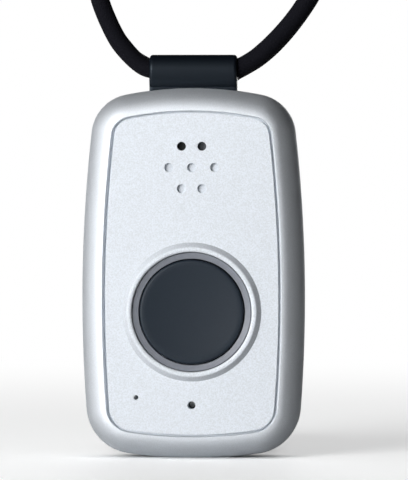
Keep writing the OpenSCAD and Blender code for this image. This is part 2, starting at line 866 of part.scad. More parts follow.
module button_retainer() {
    color("black") upright()
        difference() {
            union() {
                ring(0, button_z, retainer_in_r, retainer_out_r, web_under - retainer_t, ceiling);
                ring(0, button_z, bead_in_r + 0.3, retainer_in_r + eps, web_under - retainer_t, web_under);
                for (a = ear_angles)
                    difference() {
                        disc(ear_at(a)[0], ear_at(a)[1], ear_r, ceiling - ear_t, ceiling);
                        disc(0, button_z, retainer_in_r + eps, ceiling - ear_t - eps, ceiling + eps);
                    }
            }
            for (a = ear_angles)
                disc(ear_at(a)[0], ear_at(a)[1], ear_peg_r + fit, ceiling - ear_t - eps, ceiling + eps);
        }
}

module tact_switch() {
    color("silver") upright()
        difference() {
            block(0, button_z, switch_w, switch_w, board_top, board_top + switch_h);
            disc(0, button_z, plunger_r + 0.15, board_top + 0.15, board_top + switch_h + eps);
        }
}

module switch_plunger() {
    color("darkgray") upright()
        disc(0, button_z, plunger_r, board_top + 0.8, plunger_top);
}

module speaker() {
    color("dimgray") upright()
        translate([0, sound_z, 0])
            rotate_extrude()
                polygon([
                    [0, speaker_under], [0.7 * speaker_r, speaker_under],
                    [0.7 * speaker_r, speaker_under + 1], [speaker_r, speaker_under + 1.4],
                    [speaker_r, speaker_top], [speaker_r - 0.9, speaker_top],
                    [speaker_r - 1.1, speaker_top - 0.5], [0.45 * speaker_r, speaker_top - 0.9],
                    [0.3 * speaker_r, speaker_top - 0.6], [0, speaker_top - 0.4]
                ]);
}

module speaker_gasket() {
    color("black") upright()
        ring(0, sound_z, mesh_r + 0.1, speaker_r, speaker_top, ceiling);
}

module speaker_mesh() {
    color("black") upright()
        disc(0, sound_z, mesh_r, plate_seat - mesh_t, plate_seat);
}

module speaker_contacts() {
    color("gold") upright()
        for (s = [-1, 1])
            block(s * 2.5, sound_z - 2, 1.4, 2, board_top, speaker_under);
}

module microphone() {
    color("silver") upright()
        block(0, mic_z, mic_w, mic_h, board_top, board_top + mic_t);
}

module microphone_boot() {
    color("black") upright()
        ring(0, mic_z, boot_bore_r, boot_r, board_top + mic_t, ceiling);
}

module main_board() {
    color("darkgreen") upright()
        difference() {
            slab(board_inset, board_back, board_top);
            block(0, body_h, sleeve_w + 2 * board_notch_side, 2 * (anchor_drop + board_notch_low),
                board_back - eps, board_top + eps);
            for (b = bosses)
                disc(b[0], b[1], screw_r + board_hole_gap, board_back - eps, board_top + eps);
        }
}

// Chips as [x, height over the button's middle, width, height, thickness], in steps of the grid
front_chips = [
    [-14, 0, 12, 12, 1.8], [14, 3, 8, 8, 1.6], [13, -11, 6, 6, 1.6], [0, 17, 10, 6, 1.6],
    [0, -17, 8, 6, 1.6], [-13, -14, 4, 2.4, 1], [-13, 15, 4, 2.4, 1], [13.6, 15, 3.2, 2, 1]
];
module board_components() {
    color("black") upright()
        for (chip = front_chips)
            let (c = board_grid * chip)
            block(c[0], button_z + c[1], c[2], c[3], board_top, board_top + c[4]);
}

module cellular_module() {
    color("silver") upright() {
        round_block(module_x - module_w / 2, module_low + module_h / 2, module_w, module_h, 0.6,
            board_back - 0.8, board_back);
        round_block(module_x - module_w / 2, module_low + module_h / 2, module_w - 1, module_h - 1, 0.5,
            board_back - module_t, board_back - 0.8 + eps);
    }
}

module satellite_antenna() {
    color("tan") upright() {
        round_block(patch_x + patch_w / 2, patch_low + patch_h / 2, patch_w, patch_h, 0.4,
            board_back - patch_t, board_back);
        block(patch_x + patch_w / 2, patch_low + patch_h / 2, patch_w - 2 * patch_edge,
            patch_h - 2 * patch_edge, board_back - patch_t - 0.05, board_back - patch_t + eps);
    }
}

module card_holder() {
    w = card_w + 2 * card_frame;
    h = card_h + 1.5 * card_frame;
    z = card_low + card_h / 2;
    color("silver") upright()
        difference() {
            block(card_x, z, w, h, board_back - 1.35, board_back);
            block(card_x, z - 0.6 * card_frame, card_w + 0.2, h, board_back - 1.15, board_back - 0.2);
        }
}

module subscriber_card() {
    color("whitesmoke") upright()
        block(card_x, card_low + card_h / 2, card_w, card_h, board_back - 1.15, board_back - 1.15 + card_t);
}

module status_light() {
    color("ivory") upright()
        block(-pipe_x, pipe_z, light_w_t[0], light_w_t[0], board_top, board_top + light_w_t[1]);
}

module status_light_pipe() {
    color("darkslategray") upright() {
        disc(-pipe_x, pipe_z, pipe_d / 2, ceiling - eps, plate_top);
        disc(-pipe_x, pipe_z, pipe_foot_r, board_top + light_w_t[1] + pipe_gap, ceiling);
    }
}

module battery() {
    color("silver") upright()
        round_block(battery_x, battery_low + battery_h / 2, battery_w, battery_h, 1.5,
            battery_front - battery_t, battery_front);
}

module battery_pad() {
    color("black") upright()
        round_block(battery_x, battery_low + battery_h / 2, battery_w - 6, battery_h - 6, 1,
            floor_level, battery_front - battery_t);
}

module battery_connector() {
    color("ivory") upright()
        block(lead_x, connector_z + connector_h / 2, connector_w, connector_h, board_back - 1.8, board_back);
}

module battery_leads() {
    colours = ["red", "black"];
    for (i = [0, 1])
        color(colours[i]) upright()
            translate([lead_x - 0.75 + 1.5 * i, battery_top_z - 1, battery_front + 0.4])
                rotate([-90, 0, 0])
                    cylinder(r = 0.4, h = connector_gap + 1);
}

module vibration_motor() {
    color("silver") upright()
        translate([motor_x, motor_low, motor_level])
            rotate([-90, 0, 0])
                difference() {
                    cylinder(r = motor_r, h = motor_l);
                    translate([0, 0, motor_l - 3])
                        cylinder(r = shaft_r + fit, h = 3 + eps);
                }
}

module motor_weight() {
    color("gray") upright()
        translate([motor_x, motor_low + motor_l, motor_level])
            rotate([-90, 0, 0]) {
                translate([0, 0, -2.5])
                    cylinder(r = shaft_r, h = 2.5 + weight_gap + weight_l);
                translate([0, 0, weight_gap])
                    linear_extrude(weight_l)
                        difference() {
                            circle(r = weight_r);
                            translate([-weight_r, shaft_r / 2])
                                square([2 * weight_r, weight_r]);
                        }
            }
}

// Rubber block round the motor, with its outer foot cut back from the rounded wall
module motor_sleeve() {
    half = motor_r + motor_wall;
    foot = body_w / 2 - back_edge_r - 0.6 - motor_x;
    color("dimgray") upright()
        difference() {
            translate([motor_x, motor_low + motor_l - 0.5, 0])
                rotate([90, 0, 0])
                    linear_extrude(motor_l - 1)
                        polygon([
                            [-half, floor_level], [foot, floor_level], [half, floor_level + 1],
                            [half, board_back], [-half, board_back]
                        ]);
            translate([motor_x, motor_low - eps, motor_level])
                rotate([-90, 0, 0])
                    cylinder(r = motor_r, h = motor_l + 2 * eps);
        }
}

module charge_contacts() {
    color("gold") upright()
        for (s = [-1, 1]) {
            disc(s * contact_x, contact_z, contact_r, back, floor_level + eps);
            disc(s * contact_x, contact_z, contact_r + contact_flange_w, floor_level, contact_top);
        }
}

module charge_springs() {
    color("gold") upright()
        for (s = [-1, 1]) {
            disc(s * contact_x, contact_z, spring_r, board_back - spring_h, board_back);
            disc(s * contact_x, contact_z, spring_pin_r, contact_top, board_back - spring_h + eps);
        }
}

module cellular_antenna() {
    color("orange") upright()
        round_block(0, film_low + film_h / 2, film_w, film_h, 1, floor_level, floor_level + film_t);
}

// Bent leaf that stands on the board and presses on the antenna film
module antenna_spring() {
    low = floor_level + film_t;
    t = 0.2;
    color("gold") upright()
        translate([-0.7, film_low + 1.5, 0])
            rotate([90, 0, 90])
                linear_extrude(leaf_w)
                    polygon([
                        [0, board_back], [leaf_l, board_back], [leaf_l, board_back - t],
                        [t + 0.1, board_back - t],
                        [0.8 * leaf_l, low + t], [leaf_l, low + t + 0.3], [leaf_l, low + 0.3],
                        [0.8 * leaf_l, low], [0.7 * leaf_l, low], [0, board_back - t]
                    ]);
}

// Section of the sleeve across the cord: a round of radius r that narrows on its tangents to a neck, t to
// each side
function sleeve_section(r, t) =
    let (
        neck_top = [t, body_h + neck_rise - sleeve_z],
        turn = heading(neck_top) + acos(r / norm(neck_top)),
        steps = 24
    )
    concat(
        [for (i = [0:steps]) let (a = turn + (180 - 2 * turn) * i / steps) [r * cos(a), r * sin(a)]],
        [[-t, neck_top[1]], [-t, neck_low - sleeve_z], [t, neck_low - sleeve_z], neck_top]
    );

// Stations along the sleeve for one end, each with its place and the angle of the rounded edge there
sleeve_end = [for (a = [0:30:90]) [sleeve_w / 2 - sleeve_round * (1 - sin(a)), a]];

// Sleeve that the cord runs through, with a neck held by the anchor pin
module lanyard_loop() {
    stations = concat([for (i = [3:-1:0]) sleeve_end[i]], [for (e = sleeve_end) [-e[0], e[1]]]);
    color("black")
        difference() {
            loft([
                for (s = stations)
                    let (inset = 1 - cos(s[1]), r = sleeve_r - sleeve_round * inset)
                    [
                        for (p = sleeve_section(r, neck_t / 2 - neck_round * inset))
                            [s[0], p[0], sleeve_z + p[1]]
                    ]
            ]);
            translate([0, 0, sleeve_z])
                rotate([0, 90, 0])
                    cylinder(r = sleeve_bore_r, h = sleeve_w + 2, center = true);
            translate([0, 0, anchor_z])
                rotate([0, 90, 0])
                    cylinder(r = anchor_r, h = sleeve_w + 2, center = true);
        }
}

module loop_anchor_pin() {
    color("silver")
        translate([0, 0, anchor_z])
            rotate([0, 90, 0])
                cylinder(r = anchor_r, h = 2 * anchor_half, center = true);
}

// Directions along a route and a side direction carried along it without twist
function tangents(p) =
    [for (i = [0:len(p) - 1]) unit(p[min(i + 1, len(p) - 1)] - p[max(i - 1, 0)])];

function across(t, v) = unit(v - (v * t) * t);

function carried(t, start) = [
    for (i = 0, n = across(t[0], start); i < len(t); i = i + 1, n = i < len(t) ? across(t[i], n) : n) n
];

// Tube of the given radius along a route, closed at both ends
module tube(route, r, sides) {
    t = tangents(route);
    n = carried(t, abs(t[0] * [0, 0, 1]) > 0.7 ? [1, 0, 0] : [0, 0, 1]);
    loft([
        for (i = [0:len(route) - 1])
            [
                for (k = [0:sides - 1])
                    let (a = 360 * (k + 0.5) / sides)
                    route[i] + r * (cos(a) * n[i] + sin(a) * cross(t[i], n[i]))
            ]
    ]);
}

// Half width of the hank's loop, s turns from where the spiral reverses
function loop_half(s) = hank_in + hank_step * (abs(s) > 0.25 ? abs(s) : 2 * s * s + 0.125);

function climb(s) = s < -0.25 ? 0 : s > 0.25 ? 1 : (1 + sin(360 * s)) / 2;

// Share of the draw-in and of the lift over the tie, at y along a run: all of it in the tie
function waist(y) =
    let (past = max(abs(y) - tie_w / 2, 0))
    abs(y) > hank_run ? 0 : pow(cos(90 * past / (hank_run - tie_w / 2)), 2);

// Point of the hank after f turns from the start of the first run
function hank_point(f) =
    let (
        g = f - floor(f + 1e-6),
        second = g >= 0.5,
        h = second ? g - 0.5 : g,
        a = loop_half(f - reverse_at),
        turn = 180 * (h - run_share) / fold_share,
        flat = h < run_share ? [a, hank_run * (2 * h / run_share - 1)]
            : [a * cos(turn), hank_run + a * sin(turn)],
        narrow = waist(flat[1]) * (h < run_share ? 1 : 0),
        side = second ? -1 : 1
    )
    [
        hank_x + side * (flat[0] - hank_draw * narrow),
        hank_y + side * flat[1],
        cord_r + hank_layer * climb(f - reverse_at) + (tie_t + 0.15) * narrow
    ];

hank_start = hank_point(0) - [0, cord_d, 0];
hank_end = hank_point(hank_turns) - [0, cord_d, 0];

function hank_route(per_turn) = concat(
    [hank_start],
    [for (i = [0:round(hank_turns * per_turn)]) hank_point(min(i / per_turn, hank_turns))],
    [hank_end]
);

// Least distance between two turns of a route, less the cord, for points over half a turn apart
function least_gap(p, apart) =
    min([for (i = [0:len(p) - 1 - apart], j = [i + apart:len(p) - 1]) norm(p[i] - p[j])]) - cord_d;

function route_length(p) = len(p) < 2 ? 0 : sum([for (i = [1:len(p) - 1]) norm(p[i] - p[i - 1])]);
function sum(v) = v * [for (x = v) 1];

module lanyard_hank() {
    echo(hank_gap = least_gap(hank_route(72), 36), hank_length = route_length(hank_route(72)));
    color("black")
        tube(hank_route(36), cord_r, hank_sides);
}

module cord_in_loop() {
    color("black")
        translate([0, 0, sleeve_z])
            rotate([0, 90, 0])
                cylinder(r = cord_r, h = 2 * inner_cord, center = true);
}

module lanyard_cord_left() {
    echo(left_length = route_length(left_route));
    color("black")
        tube(left_route, cord_r, cord_sides);
}

// The free stretches join the hank straight, face to face
right_whole = concat(right_route, [hank_start - [0, 1, 0], hank_start]);
module lanyard_cord_right() {
    echo(right_length = route_length(right_whole));
    color("black")
        tube(right_whole, cord_r, cord_sides);
}

tail_whole = concat([hank_end, hank_end - [0, 0.8, 0]], tail_route);
module lanyard_cord_tail() {
    echo(tail_length = route_length(tail_whole));
    color("black")
        tube(tail_whole, cord_r, cord_sides);
}

// Band round the hank's drawn-in middle
module hank_tie() {
    right = loop_half(run_share / 2 - reverse_at) - hank_draw + cord_r + hank_clear;
    left = loop_half(0.5 + run_share / 2 - reverse_at) - hank_draw + cord_r + hank_clear;
    high = hank_layer + cord_d + 2 * tie_t + 0.15 + hank_clear;
    color("dimgray")
        translate([hank_x, hank_y + tie_w / 2, 0])
            rotate([90, 0, 0])
                difference() {
                    translate([(right - left) / 2, 0, 0])
                        round_block(0, high / 2, left + right + 2 * tie_t, high, 2, 0, tie_w);
                    translate([(right - left) / 2, 0, 0])
                        round_block(0, high / 2, left + right, high - 2 * tie_t, 1.2, -1, tie_w + 1);
                }
}

// Half of the clasp, seat of the cord down
module clasp_half(nib) {
    difference() {
        union() {
            rotate_extrude()
                polygon([
                    [0, 0], [clasp_r - 0.6, 0], [clasp_r, 0.6], [clasp_r, clasp_l - 0.3],
                    [clasp_r - 0.3, clasp_l], [0, clasp_l]
                ]);
            if (nib)
                translate([0, 0, clasp_l - eps])
                    cylinder(r = clasp_r - 1.4, h = 3);
        }
        translate([0, 0, -eps])
            cylinder(r = cord_r + 0.15, h = clasp_seat + eps);
        if (!nib)
            translate([0, 0, clasp_l - 3.2])
                cylinder(r = clasp_r - 1.3, h = 4);
    }
}

module clasp_plug() {
    color("black")
        translate([clasp_at[0], clasp_at[1], clasp_z])
            clasp_half(true);
}

module clasp_socket() {
    color("black")
        translate([clasp_at[0], clasp_at[1], clasp_z + 2 * clasp_l])
            mirror([0, 0, 1])
                clasp_half(false);
}

front_housing();
face_plate();
rear_cover();
seal_gasket();
cover_screws();
threaded_inserts();
button_cap();
light_ring();
button_seal();
button_retainer();
ring_board();
ring_lights();
tact_switch();
switch_plunger();
speaker();
speaker_gasket();
speaker_mesh();
speaker_contacts();
microphone();
microphone_boot();
main_board();
board_components();
cellular_module();
satellite_antenna();
card_holder();
subscriber_card();
status_light();
status_light_pipe();
battery();
battery_pad();
battery_connector();
battery_leads();
vibration_motor();
motor_weight();
motor_sleeve();
charge_contacts();
charge_springs();
cellular_antenna();
antenna_spring();
lanyard_loop();
loop_anchor_pin();
cord_in_loop();
lanyard_cord_left();
lanyard_cord_right();
lanyard_cord_tail();
lanyard_hank();
hank_tie();
clasp_socket();
clasp_plug();
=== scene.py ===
import json
import math

import bmesh
import bpy
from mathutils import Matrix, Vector


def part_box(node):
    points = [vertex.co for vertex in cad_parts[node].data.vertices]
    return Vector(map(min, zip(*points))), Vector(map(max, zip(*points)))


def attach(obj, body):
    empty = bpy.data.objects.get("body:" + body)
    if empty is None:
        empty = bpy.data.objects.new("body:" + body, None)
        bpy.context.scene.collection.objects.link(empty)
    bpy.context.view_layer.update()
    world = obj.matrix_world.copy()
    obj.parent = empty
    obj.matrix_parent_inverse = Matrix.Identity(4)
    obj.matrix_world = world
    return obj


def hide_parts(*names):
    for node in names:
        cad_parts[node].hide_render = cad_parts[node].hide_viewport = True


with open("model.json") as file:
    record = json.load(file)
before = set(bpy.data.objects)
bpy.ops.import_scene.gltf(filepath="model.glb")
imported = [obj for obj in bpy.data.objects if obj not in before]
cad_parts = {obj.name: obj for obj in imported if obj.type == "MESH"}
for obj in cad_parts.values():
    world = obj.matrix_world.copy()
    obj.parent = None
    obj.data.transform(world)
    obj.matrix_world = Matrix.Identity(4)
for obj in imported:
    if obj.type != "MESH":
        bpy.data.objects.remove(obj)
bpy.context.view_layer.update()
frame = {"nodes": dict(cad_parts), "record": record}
MM = 0.001

# Sizes of the part, in millimetres, as its source has them
BODY_W, BODY_H, WIDEST_Z = 45, 74.5, 32
SIDE_R, CROWN_R, BASE_R = 300, 70, 90
TOP_CORNER_R, BOTTOM_CORNER_R, LAND_CUT = 8.6, 9.8, 0.25
WALL, FRONT_WALL = 1.8, 1.6
FRONT_EDGE_R, BACK_EDGE_R, SIDE_BAND = 7.8, 7, 1
RIM_W, RIM_BEVEL, SEAM_BEVEL = 4.7, 0.35, 0.15
PLATE_T, PLATE_GROOVE = 1, 0.38
RIDGE_H, RIDGE_INNER_W, RIDGE_GAP = 0.9, 0.55, 0.15
BUTTON_RISE, DISH_DEPTH, LIGHT_W = 0.6, 0.5, 1.2
BUTTON_Z = BODY_H / 2 - 7.75
MIC_Z, MIC_R = BUTTON_Z - 18.75, 0.75
SOUND_Z, SOUND_R, SOUND_HALF, SOUND_SIDE, SOUND_ROW = BODY_H - 16, 0.875, 2.05, 4.6, 4.25
PIPE_X, PIPE_Z, PIPE_R = -11.2, 12.3, 0.425
CORD_R, SLEEVE_R, SLEEVE_W, SLEEVE_BORE_R, SLEEVE_ROUND = 1.75, 3, 17.7, 2.05, 0.7
SLEEVE_Z, NECK_T, NECK_ROUND, NECK_RISE, ANCHOR_Z = BODY_H + 3.7, 3, 0.2, 0.2, BODY_H - 3.8
CLASP_X, CLASP_Y, CLASP_Z, CLASP_L, CLASP_R = -17.5, 14, 15.5, 9, 3
HANK_X, HANK_Y, HANK_IN, HANK_RUN = -2.5, 38, 10.4, 12.5
HANK_STEP, HANK_DRAW, HANK_LAYER, HANK_CLEAR, TIE_W, TIE_T = 4.3, 2, 4.1, 0.3, 5, 0.8
REST_GAP, BUTTON_FLANGE_W, BUTTON_FLANGE_T, STEM_R = 0.2, 1.3, 0.7, 2.2
BOARD_DROP, SWITCH_H, PLUNGER_RISE = 3.4, 0.9, 0.7
LIGHT_FLANGE_W, LIGHT_FLANGE_T, SCREW_INSET, FIT = 1.3, 0.7, 7, 0.05
TIE_SLACK = 0.15
TIE_HIGH = HANK_LAYER + 2 * CORD_R + 2 * TIE_T + TIE_SLACK + HANK_CLEAR
HEAD_R, HEAD_T, HEAD_SINK, CONTACT_R, CONTACT_X, CONTACT_Z = 1.5, 1, 0.3, 1, 3.5, 10

# Sizes set by the look, which the source has a little otherwise or not at all. Slope and lean are in degrees
BUTTON_R, BUTTON_ROUND, BUTTON_GAP, DIMPLE_DEPTH = 10.48, 0.5, 0.22, 0.6
PLATE_BEVEL, LIGHT_RISE, LIGHT_SLOPE = 0.16, 0.32, 11
RIDGE_OUTER_W, RIDGE_CREST_W, RIDGE_TURN_W = 1.36, 0.25, 0.35
RIM_LEAN, RIM_BEND, END_BEND = 4, 3.2, 1.7

# Levels towards the face, from the joint between the rounded front edge and the side band
FRONT_TURN = math.acos(1 - (RIM_W - RIM_BEVEL) / FRONT_EDGE_R)
PLATE_TOP = FRONT_EDGE_R * math.sin(FRONT_TURN)
PLATE_SEAT = PLATE_TOP - PLATE_T
CEILING = PLATE_SEAT - FRONT_WALL
CREST = PLATE_TOP + RIDGE_H
JOINT = -SIDE_BAND / 2
BACK = -SIDE_BAND - BACK_EDGE_R
FLOOR = BACK + WALL
MIDDLE = (CREST + BACK) / 2
BUTTON_TOP = PLATE_TOP + BUTTON_RISE
LIGHT_IN = BUTTON_R + BUTTON_GAP
LIGHT_OUT = LIGHT_IN + LIGHT_W
LIGHT_TOP = PLATE_TOP + LIGHT_RISE
LIGHT_LOW = LIGHT_TOP - LIGHT_W * math.tan(math.radians(LIGHT_SLOPE))
RIDGE_IN_R = LIGHT_OUT + RIDGE_GAP
RIDGE_CREST_R = RIDGE_IN_R + RIDGE_INNER_W
RIDGE_TOE_R = RIDGE_CREST_R + RIDGE_OUTER_W


# The view of the photograph
def place_camera():
    turn, rise, away = math.radians(3), math.radians(1.3), 1.0
    aim = Vector((2.1, 0, 43.8)) * MM
    towards = Vector((math.sin(turn) * math.cos(rise), -math.cos(turn) * math.cos(rise), math.sin(rise)))
    bpy.ops.object.camera_add(location=aim + away * towards, rotation=(math.pi / 2 - rise, 0, turn))
    camera = bpy.context.object
    camera.data.sensor_width = 36
    camera.data.lens = 36 * away / (480 * 0.202 * MM)
    camera.data.clip_start, camera.data.clip_end = 0.05, 20
    bpy.context.scene.camera = camera


place_camera()


# Materials
def node(tree, kind, **settings):
    made = tree.nodes.new(kind)
    for name, value in settings.items():
        setattr(made, name, value)
    return made


def plain(name, colour, roughness, **sockets):
    made = bpy.data.materials.new(name)
    made.use_nodes = True
    shader = made.node_tree.nodes["Principled BSDF"]
    shader.inputs["Base Color"].default_value = (*colour, 1)
    shader.inputs["Roughness"].default_value = roughness
    for socket, value in sockets.items():
        shader.inputs[socket.replace("_", " ")].default_value = value
    return made


def graded(tree, value, low, high, first=0.0, last=1.0, **settings):
    """The value made into first at low and last at high, and held there beyond them."""
    made = node(tree, "ShaderNodeMapRange", **settings)
    for socket, number in (("From Min", low), ("From Max", high), ("To Min", first), ("To Max", last)):
        made.inputs[socket].default_value = number
    tree.links.new(value, made.inputs["Value"])
    return made.outputs["Result"]


def reckoned(tree, operation, *values):
    made = node(tree, "ShaderNodeMath", operation=operation)
    for socket, value in zip(made.inputs, values):
        tree.links.new(value, socket)
    return made.outputs[0]


def measured(tree, operation, value, by=None):
    """A vector operation on a linked value and, where given, a fixed one."""
    made = node(tree, "ShaderNodeVectorMath", operation=operation)
    tree.links.new(value, made.inputs[0])
    if by:
        made.inputs[1].default_value = by
    return made.outputs["Value" if operation in ("LENGTH", "DISTANCE") else "Vector"]


def part_of(tree, value, axis):
    made = node(tree, "ShaderNodeSeparateXYZ")
    tree.links.new(value, made.inputs[0])
    return made.outputs[axis]


def mixed(tree, share, first, second):
    made = node(tree, "ShaderNodeMix", data_type="RGBA")
    made.inputs[6].default_value, made.inputs[7].default_value = (*first, 1), (*second, 1)
    tree.links.new(share, made.inputs[0])
    return made.outputs[2]


def place_on(tree, coords="Object"):
    return node(tree, "ShaderNodeTexCoord").outputs[coords]


def raise_by(tree, height, distance):
    made = node(tree, "ShaderNodeBump")
    made.inputs["Strength"].default_value = 1
    made.inputs["Distance"].default_value = distance
    tree.links.new(height, made.inputs["Height"])
    tree.links.new(made.outputs["Normal"], tree.nodes["Principled BSDF"].inputs["Normal"])


def grain(made, scale, spread, tint=(1, 1, 1), detail=2.0, roughness=0.0, bump=0.0, coords="Object",
          stretch=(1, 1, 1)):
    """Fine variation of a material's colour, roughness and height from noise of the given scale per metre."""
    tree = made.node_tree
    shader = tree.nodes["Principled BSDF"]
    turn = node(tree, "ShaderNodeMapping")
    turn.inputs["Scale"].default_value = stretch
    tree.links.new(place_on(tree, coords), turn.inputs["Vector"])
    noise = node(tree, "ShaderNodeTexNoise")
    noise.inputs["Scale"].default_value = scale
    noise.inputs["Detail"].default_value = detail
    tree.links.new(turn.outputs["Vector"], noise.inputs["Vector"])
    speck = noise.outputs["Fac"]
    if spread:
        colour = shader.inputs["Base Color"].default_value[:3]
        pale = [min(c * (1 + spread) * t, 1) for c, t in zip(colour, tint)]
        shades = mixed(tree, graded(tree, speck, 0.3, 0.7), [c * (1 - spread) for c in colour], pale)
        tree.links.new(shades, shader.inputs["Base Color"])
    if roughness:
        level = shader.inputs["Roughness"].default_value
        uneven = graded(tree, speck, 0, 1, max(level - roughness, 0.02), min(level + roughness, 1))
        tree.links.new(uneven, shader.inputs["Roughness"])
    if bump:
        raise_by(tree, speck, bump)
    return made


def dimmed(made, share):
    """The material with its colour scaled by a share from its own nodes."""
    tree = made.node_tree
    colour = tree.nodes["Principled BSDF"].inputs["Base Color"]
    darker = node(tree, "ShaderNodeVectorMath", operation="SCALE")
    tree.links.new(colour.links[0].from_socket, darker.inputs[0])
    tree.links.new(share, darker.inputs["Scale"])
    tree.links.new(darker.outputs["Vector"], colour)
    return made


def painted_recess_shade(made, level, share):
    """Painted shade: the colour is made darker below a level of the face, in grooves, dimples and holes."""
    tree = made.node_tree
    mouth, foot = MIDDLE - level + 0.06, MIDDLE - level + 0.3
    return dimmed(made, graded(tree, part_of(tree, place_on(tree), "Y"), mouth * MM, foot * MM, 1, share))


def painted_ring_slope_shade(made, share):
    """Painted shade: the colour is made darker on the outer slope of the raised ring."""
    tree = made.node_tree
    flat = measured(tree, "MULTIPLY", place_on(tree), (1, 0, 1))
    away = measured(tree, "DISTANCE", flat, (0, 0, BUTTON_Z * MM))
    middle = RIDGE_CREST_R + RIDGE_CREST_W + RIDGE_TURN_W / 2
    start = graded(tree, away, (middle - 0.15) * MM, (middle + 0.15) * MM, 1, share)
    end = graded(tree, away, (RIDGE_TOE_R - 0.02) * MM, (RIDGE_TOE_R + 0.02) * MM)
    return dimmed(made, reckoned(tree, "MAXIMUM", start, end))


PEARL = grain(plain("pearl_shell_paint", (0.775, 0.805, 0.835), 0.7, Metallic=1.0, Specular_IOR_Level=0.22),
              5200, 0.05, tint=(1, 1, 1.01), roughness=0.06, bump=0.000004)
PLATE = grain(plain("pearl_plate_paint", (0.757, 0.796, 0.835), 0.7, Metallic=0.3, Specular_IOR_Level=0.22),
              3600, 0.09, tint=(1, 1, 1.02), roughness=0.06, bump=0.000009)
# Painted shade on the plate: darker in its grooves, dimples and holes, and on the outer slope of the raised ring
PLATE = painted_ring_slope_shade(painted_recess_shade(PLATE, PLATE_TOP, 0.84), 0.8)
SLATE = grain(plain("button_slate", (0.015, 0.023, 0.034), 0.5, Specular_IOR_Level=0.25),
              6500, 0.12, roughness=0.08, bump=0.000006)
GUIDE = grain(plain("light_guide_grey", (0.222, 0.236, 0.27), 0.35, Specular_IOR_Level=0.35),
              1200, 0.05, roughness=0.05)
SATIN = grain(plain("sleeve_rubber", (0.003, 0.0048, 0.008), 0.44, Specular_IOR_Level=0.3,
                    Specular_Tint=(0.72, 0.86, 1, 1)), 9000, 0.12, roughness=0.05, bump=0.000004)
DARK = grain(plain("dark_plastic", (0.02, 0.02, 0.023), 0.4), 7000, 0.15, roughness=0.06, bump=0.000004)
TIE = grain(plain("tie_rubber", (0.035, 0.035, 0.04), 0.6), 6000, 0.15, roughness=0.06, bump=0.000006)
PIPE = grain(plain("pipe_tint", (0.035, 0.042, 0.05), 0.25), 4000, 0.08, roughness=0.05)


# Shapes that the pieces share
def deselect():
    if bpy.context.object and bpy.context.object.mode != "OBJECT":
        bpy.ops.object.mode_set(mode="OBJECT")
    bpy.ops.object.select_all(action="DESELECT")


def unit(angle):
    return Vector((math.cos(angle), math.sin(angle)))


def crossing(p, rp, q, rq, side):
    """Where the circles round p and q cross, on the left of the way from p to q for side 1."""
    d = (q - p).length
    u = (q - p) / d
    a = (rp * rp - rq * rq + d * d) / (2 * d)
    return p + a * u + side * math.sqrt(rp * rp - a * a) * Vector((-u.y, u.x))


def heading(v):
    return math.atan2(v.y, v.x)


SIDE_C = Vector((BODY_W / 2 - SIDE_R, WIDEST_Z))
CROWN_C = Vector((0, BODY_H - CROWN_R))
BASE_C = Vector((0, BASE_R - LAND_CUT))
TOP_C = crossing(CROWN_C, CROWN_R - TOP_CORNER_R, SIDE_C, SIDE_R - TOP_CORNER_R, -1)
LOW_C = crossing(BASE_C, BASE_R - BOTTOM_CORNER_R, SIDE_C, SIDE_R - BOTTOM_CORNER_R, 1)
ARCS = [
    (BASE_C, BASE_R, -math.pi / 2, heading(LOW_C - BASE_C), 12),
    (LOW_C, BOTTOM_CORNER_R, heading(LOW_C - BASE_C), heading(LOW_C - SIDE_C), 22),
    (SIDE_C, SIDE_R, heading(LOW_C - SIDE_C), heading(TOP_C - SIDE_C), 16),
    (TOP_C, TOP_CORNER_R, heading(TOP_C - SIDE_C), heading(TOP_C - CROWN_C), 20),
    (CROWN_C, CROWN_R, heading(TOP_C - CROWN_C), math.pi / 2, 12),
]


def at(x, level, z):
    """A point in the object's frame, in metres, from its place across, level towards the face, and height."""
    return Vector((x, MIDDLE - level, z)) * MM


def outline(inset, level, cut=True):
    """Points of the body's outline, moved in by inset, at a level. The standing land cuts the bottom flat.

    Inset and level may be functions of how far the outline faces up or down there, from 0 at the sides to 1."""
    ins, lev = [value if callable(value) else lambda up, value=value: value for value in (inset, level)]
    half = []
    for c, r, a, b, n in ARCS:
        for way in (unit(a + (b - a) * i / n) for i in range(n)):
            up = way.y ** 2
            half.append((c + (r - ins(up)) * way, lev(up)))
    half.append((Vector((0, BODY_H - ins(1))), lev(1)))
    whole = half + [(Vector((-p.x, p.y)), high) for p, high in half[-2:0:-1]]
    return [at(p.x, high, max(p.y, 0) if cut else p.y) for p, high in whole]


def circle(x, z, radius, level, count=96):
    return [at(x + radius * math.cos(2 * math.pi * i / count), level, z + radius * math.sin(2 * math.pi * i / count))
            for i in range(count)]


def level_circle(x, y, z, radius, count):
    """Points of a circle round an upright axis."""
    turns = [2 * math.pi * k / count for k in range(count)]
    return [Vector((x + radius * math.cos(a), y + radius * math.sin(a), z)) * MM for a in turns]


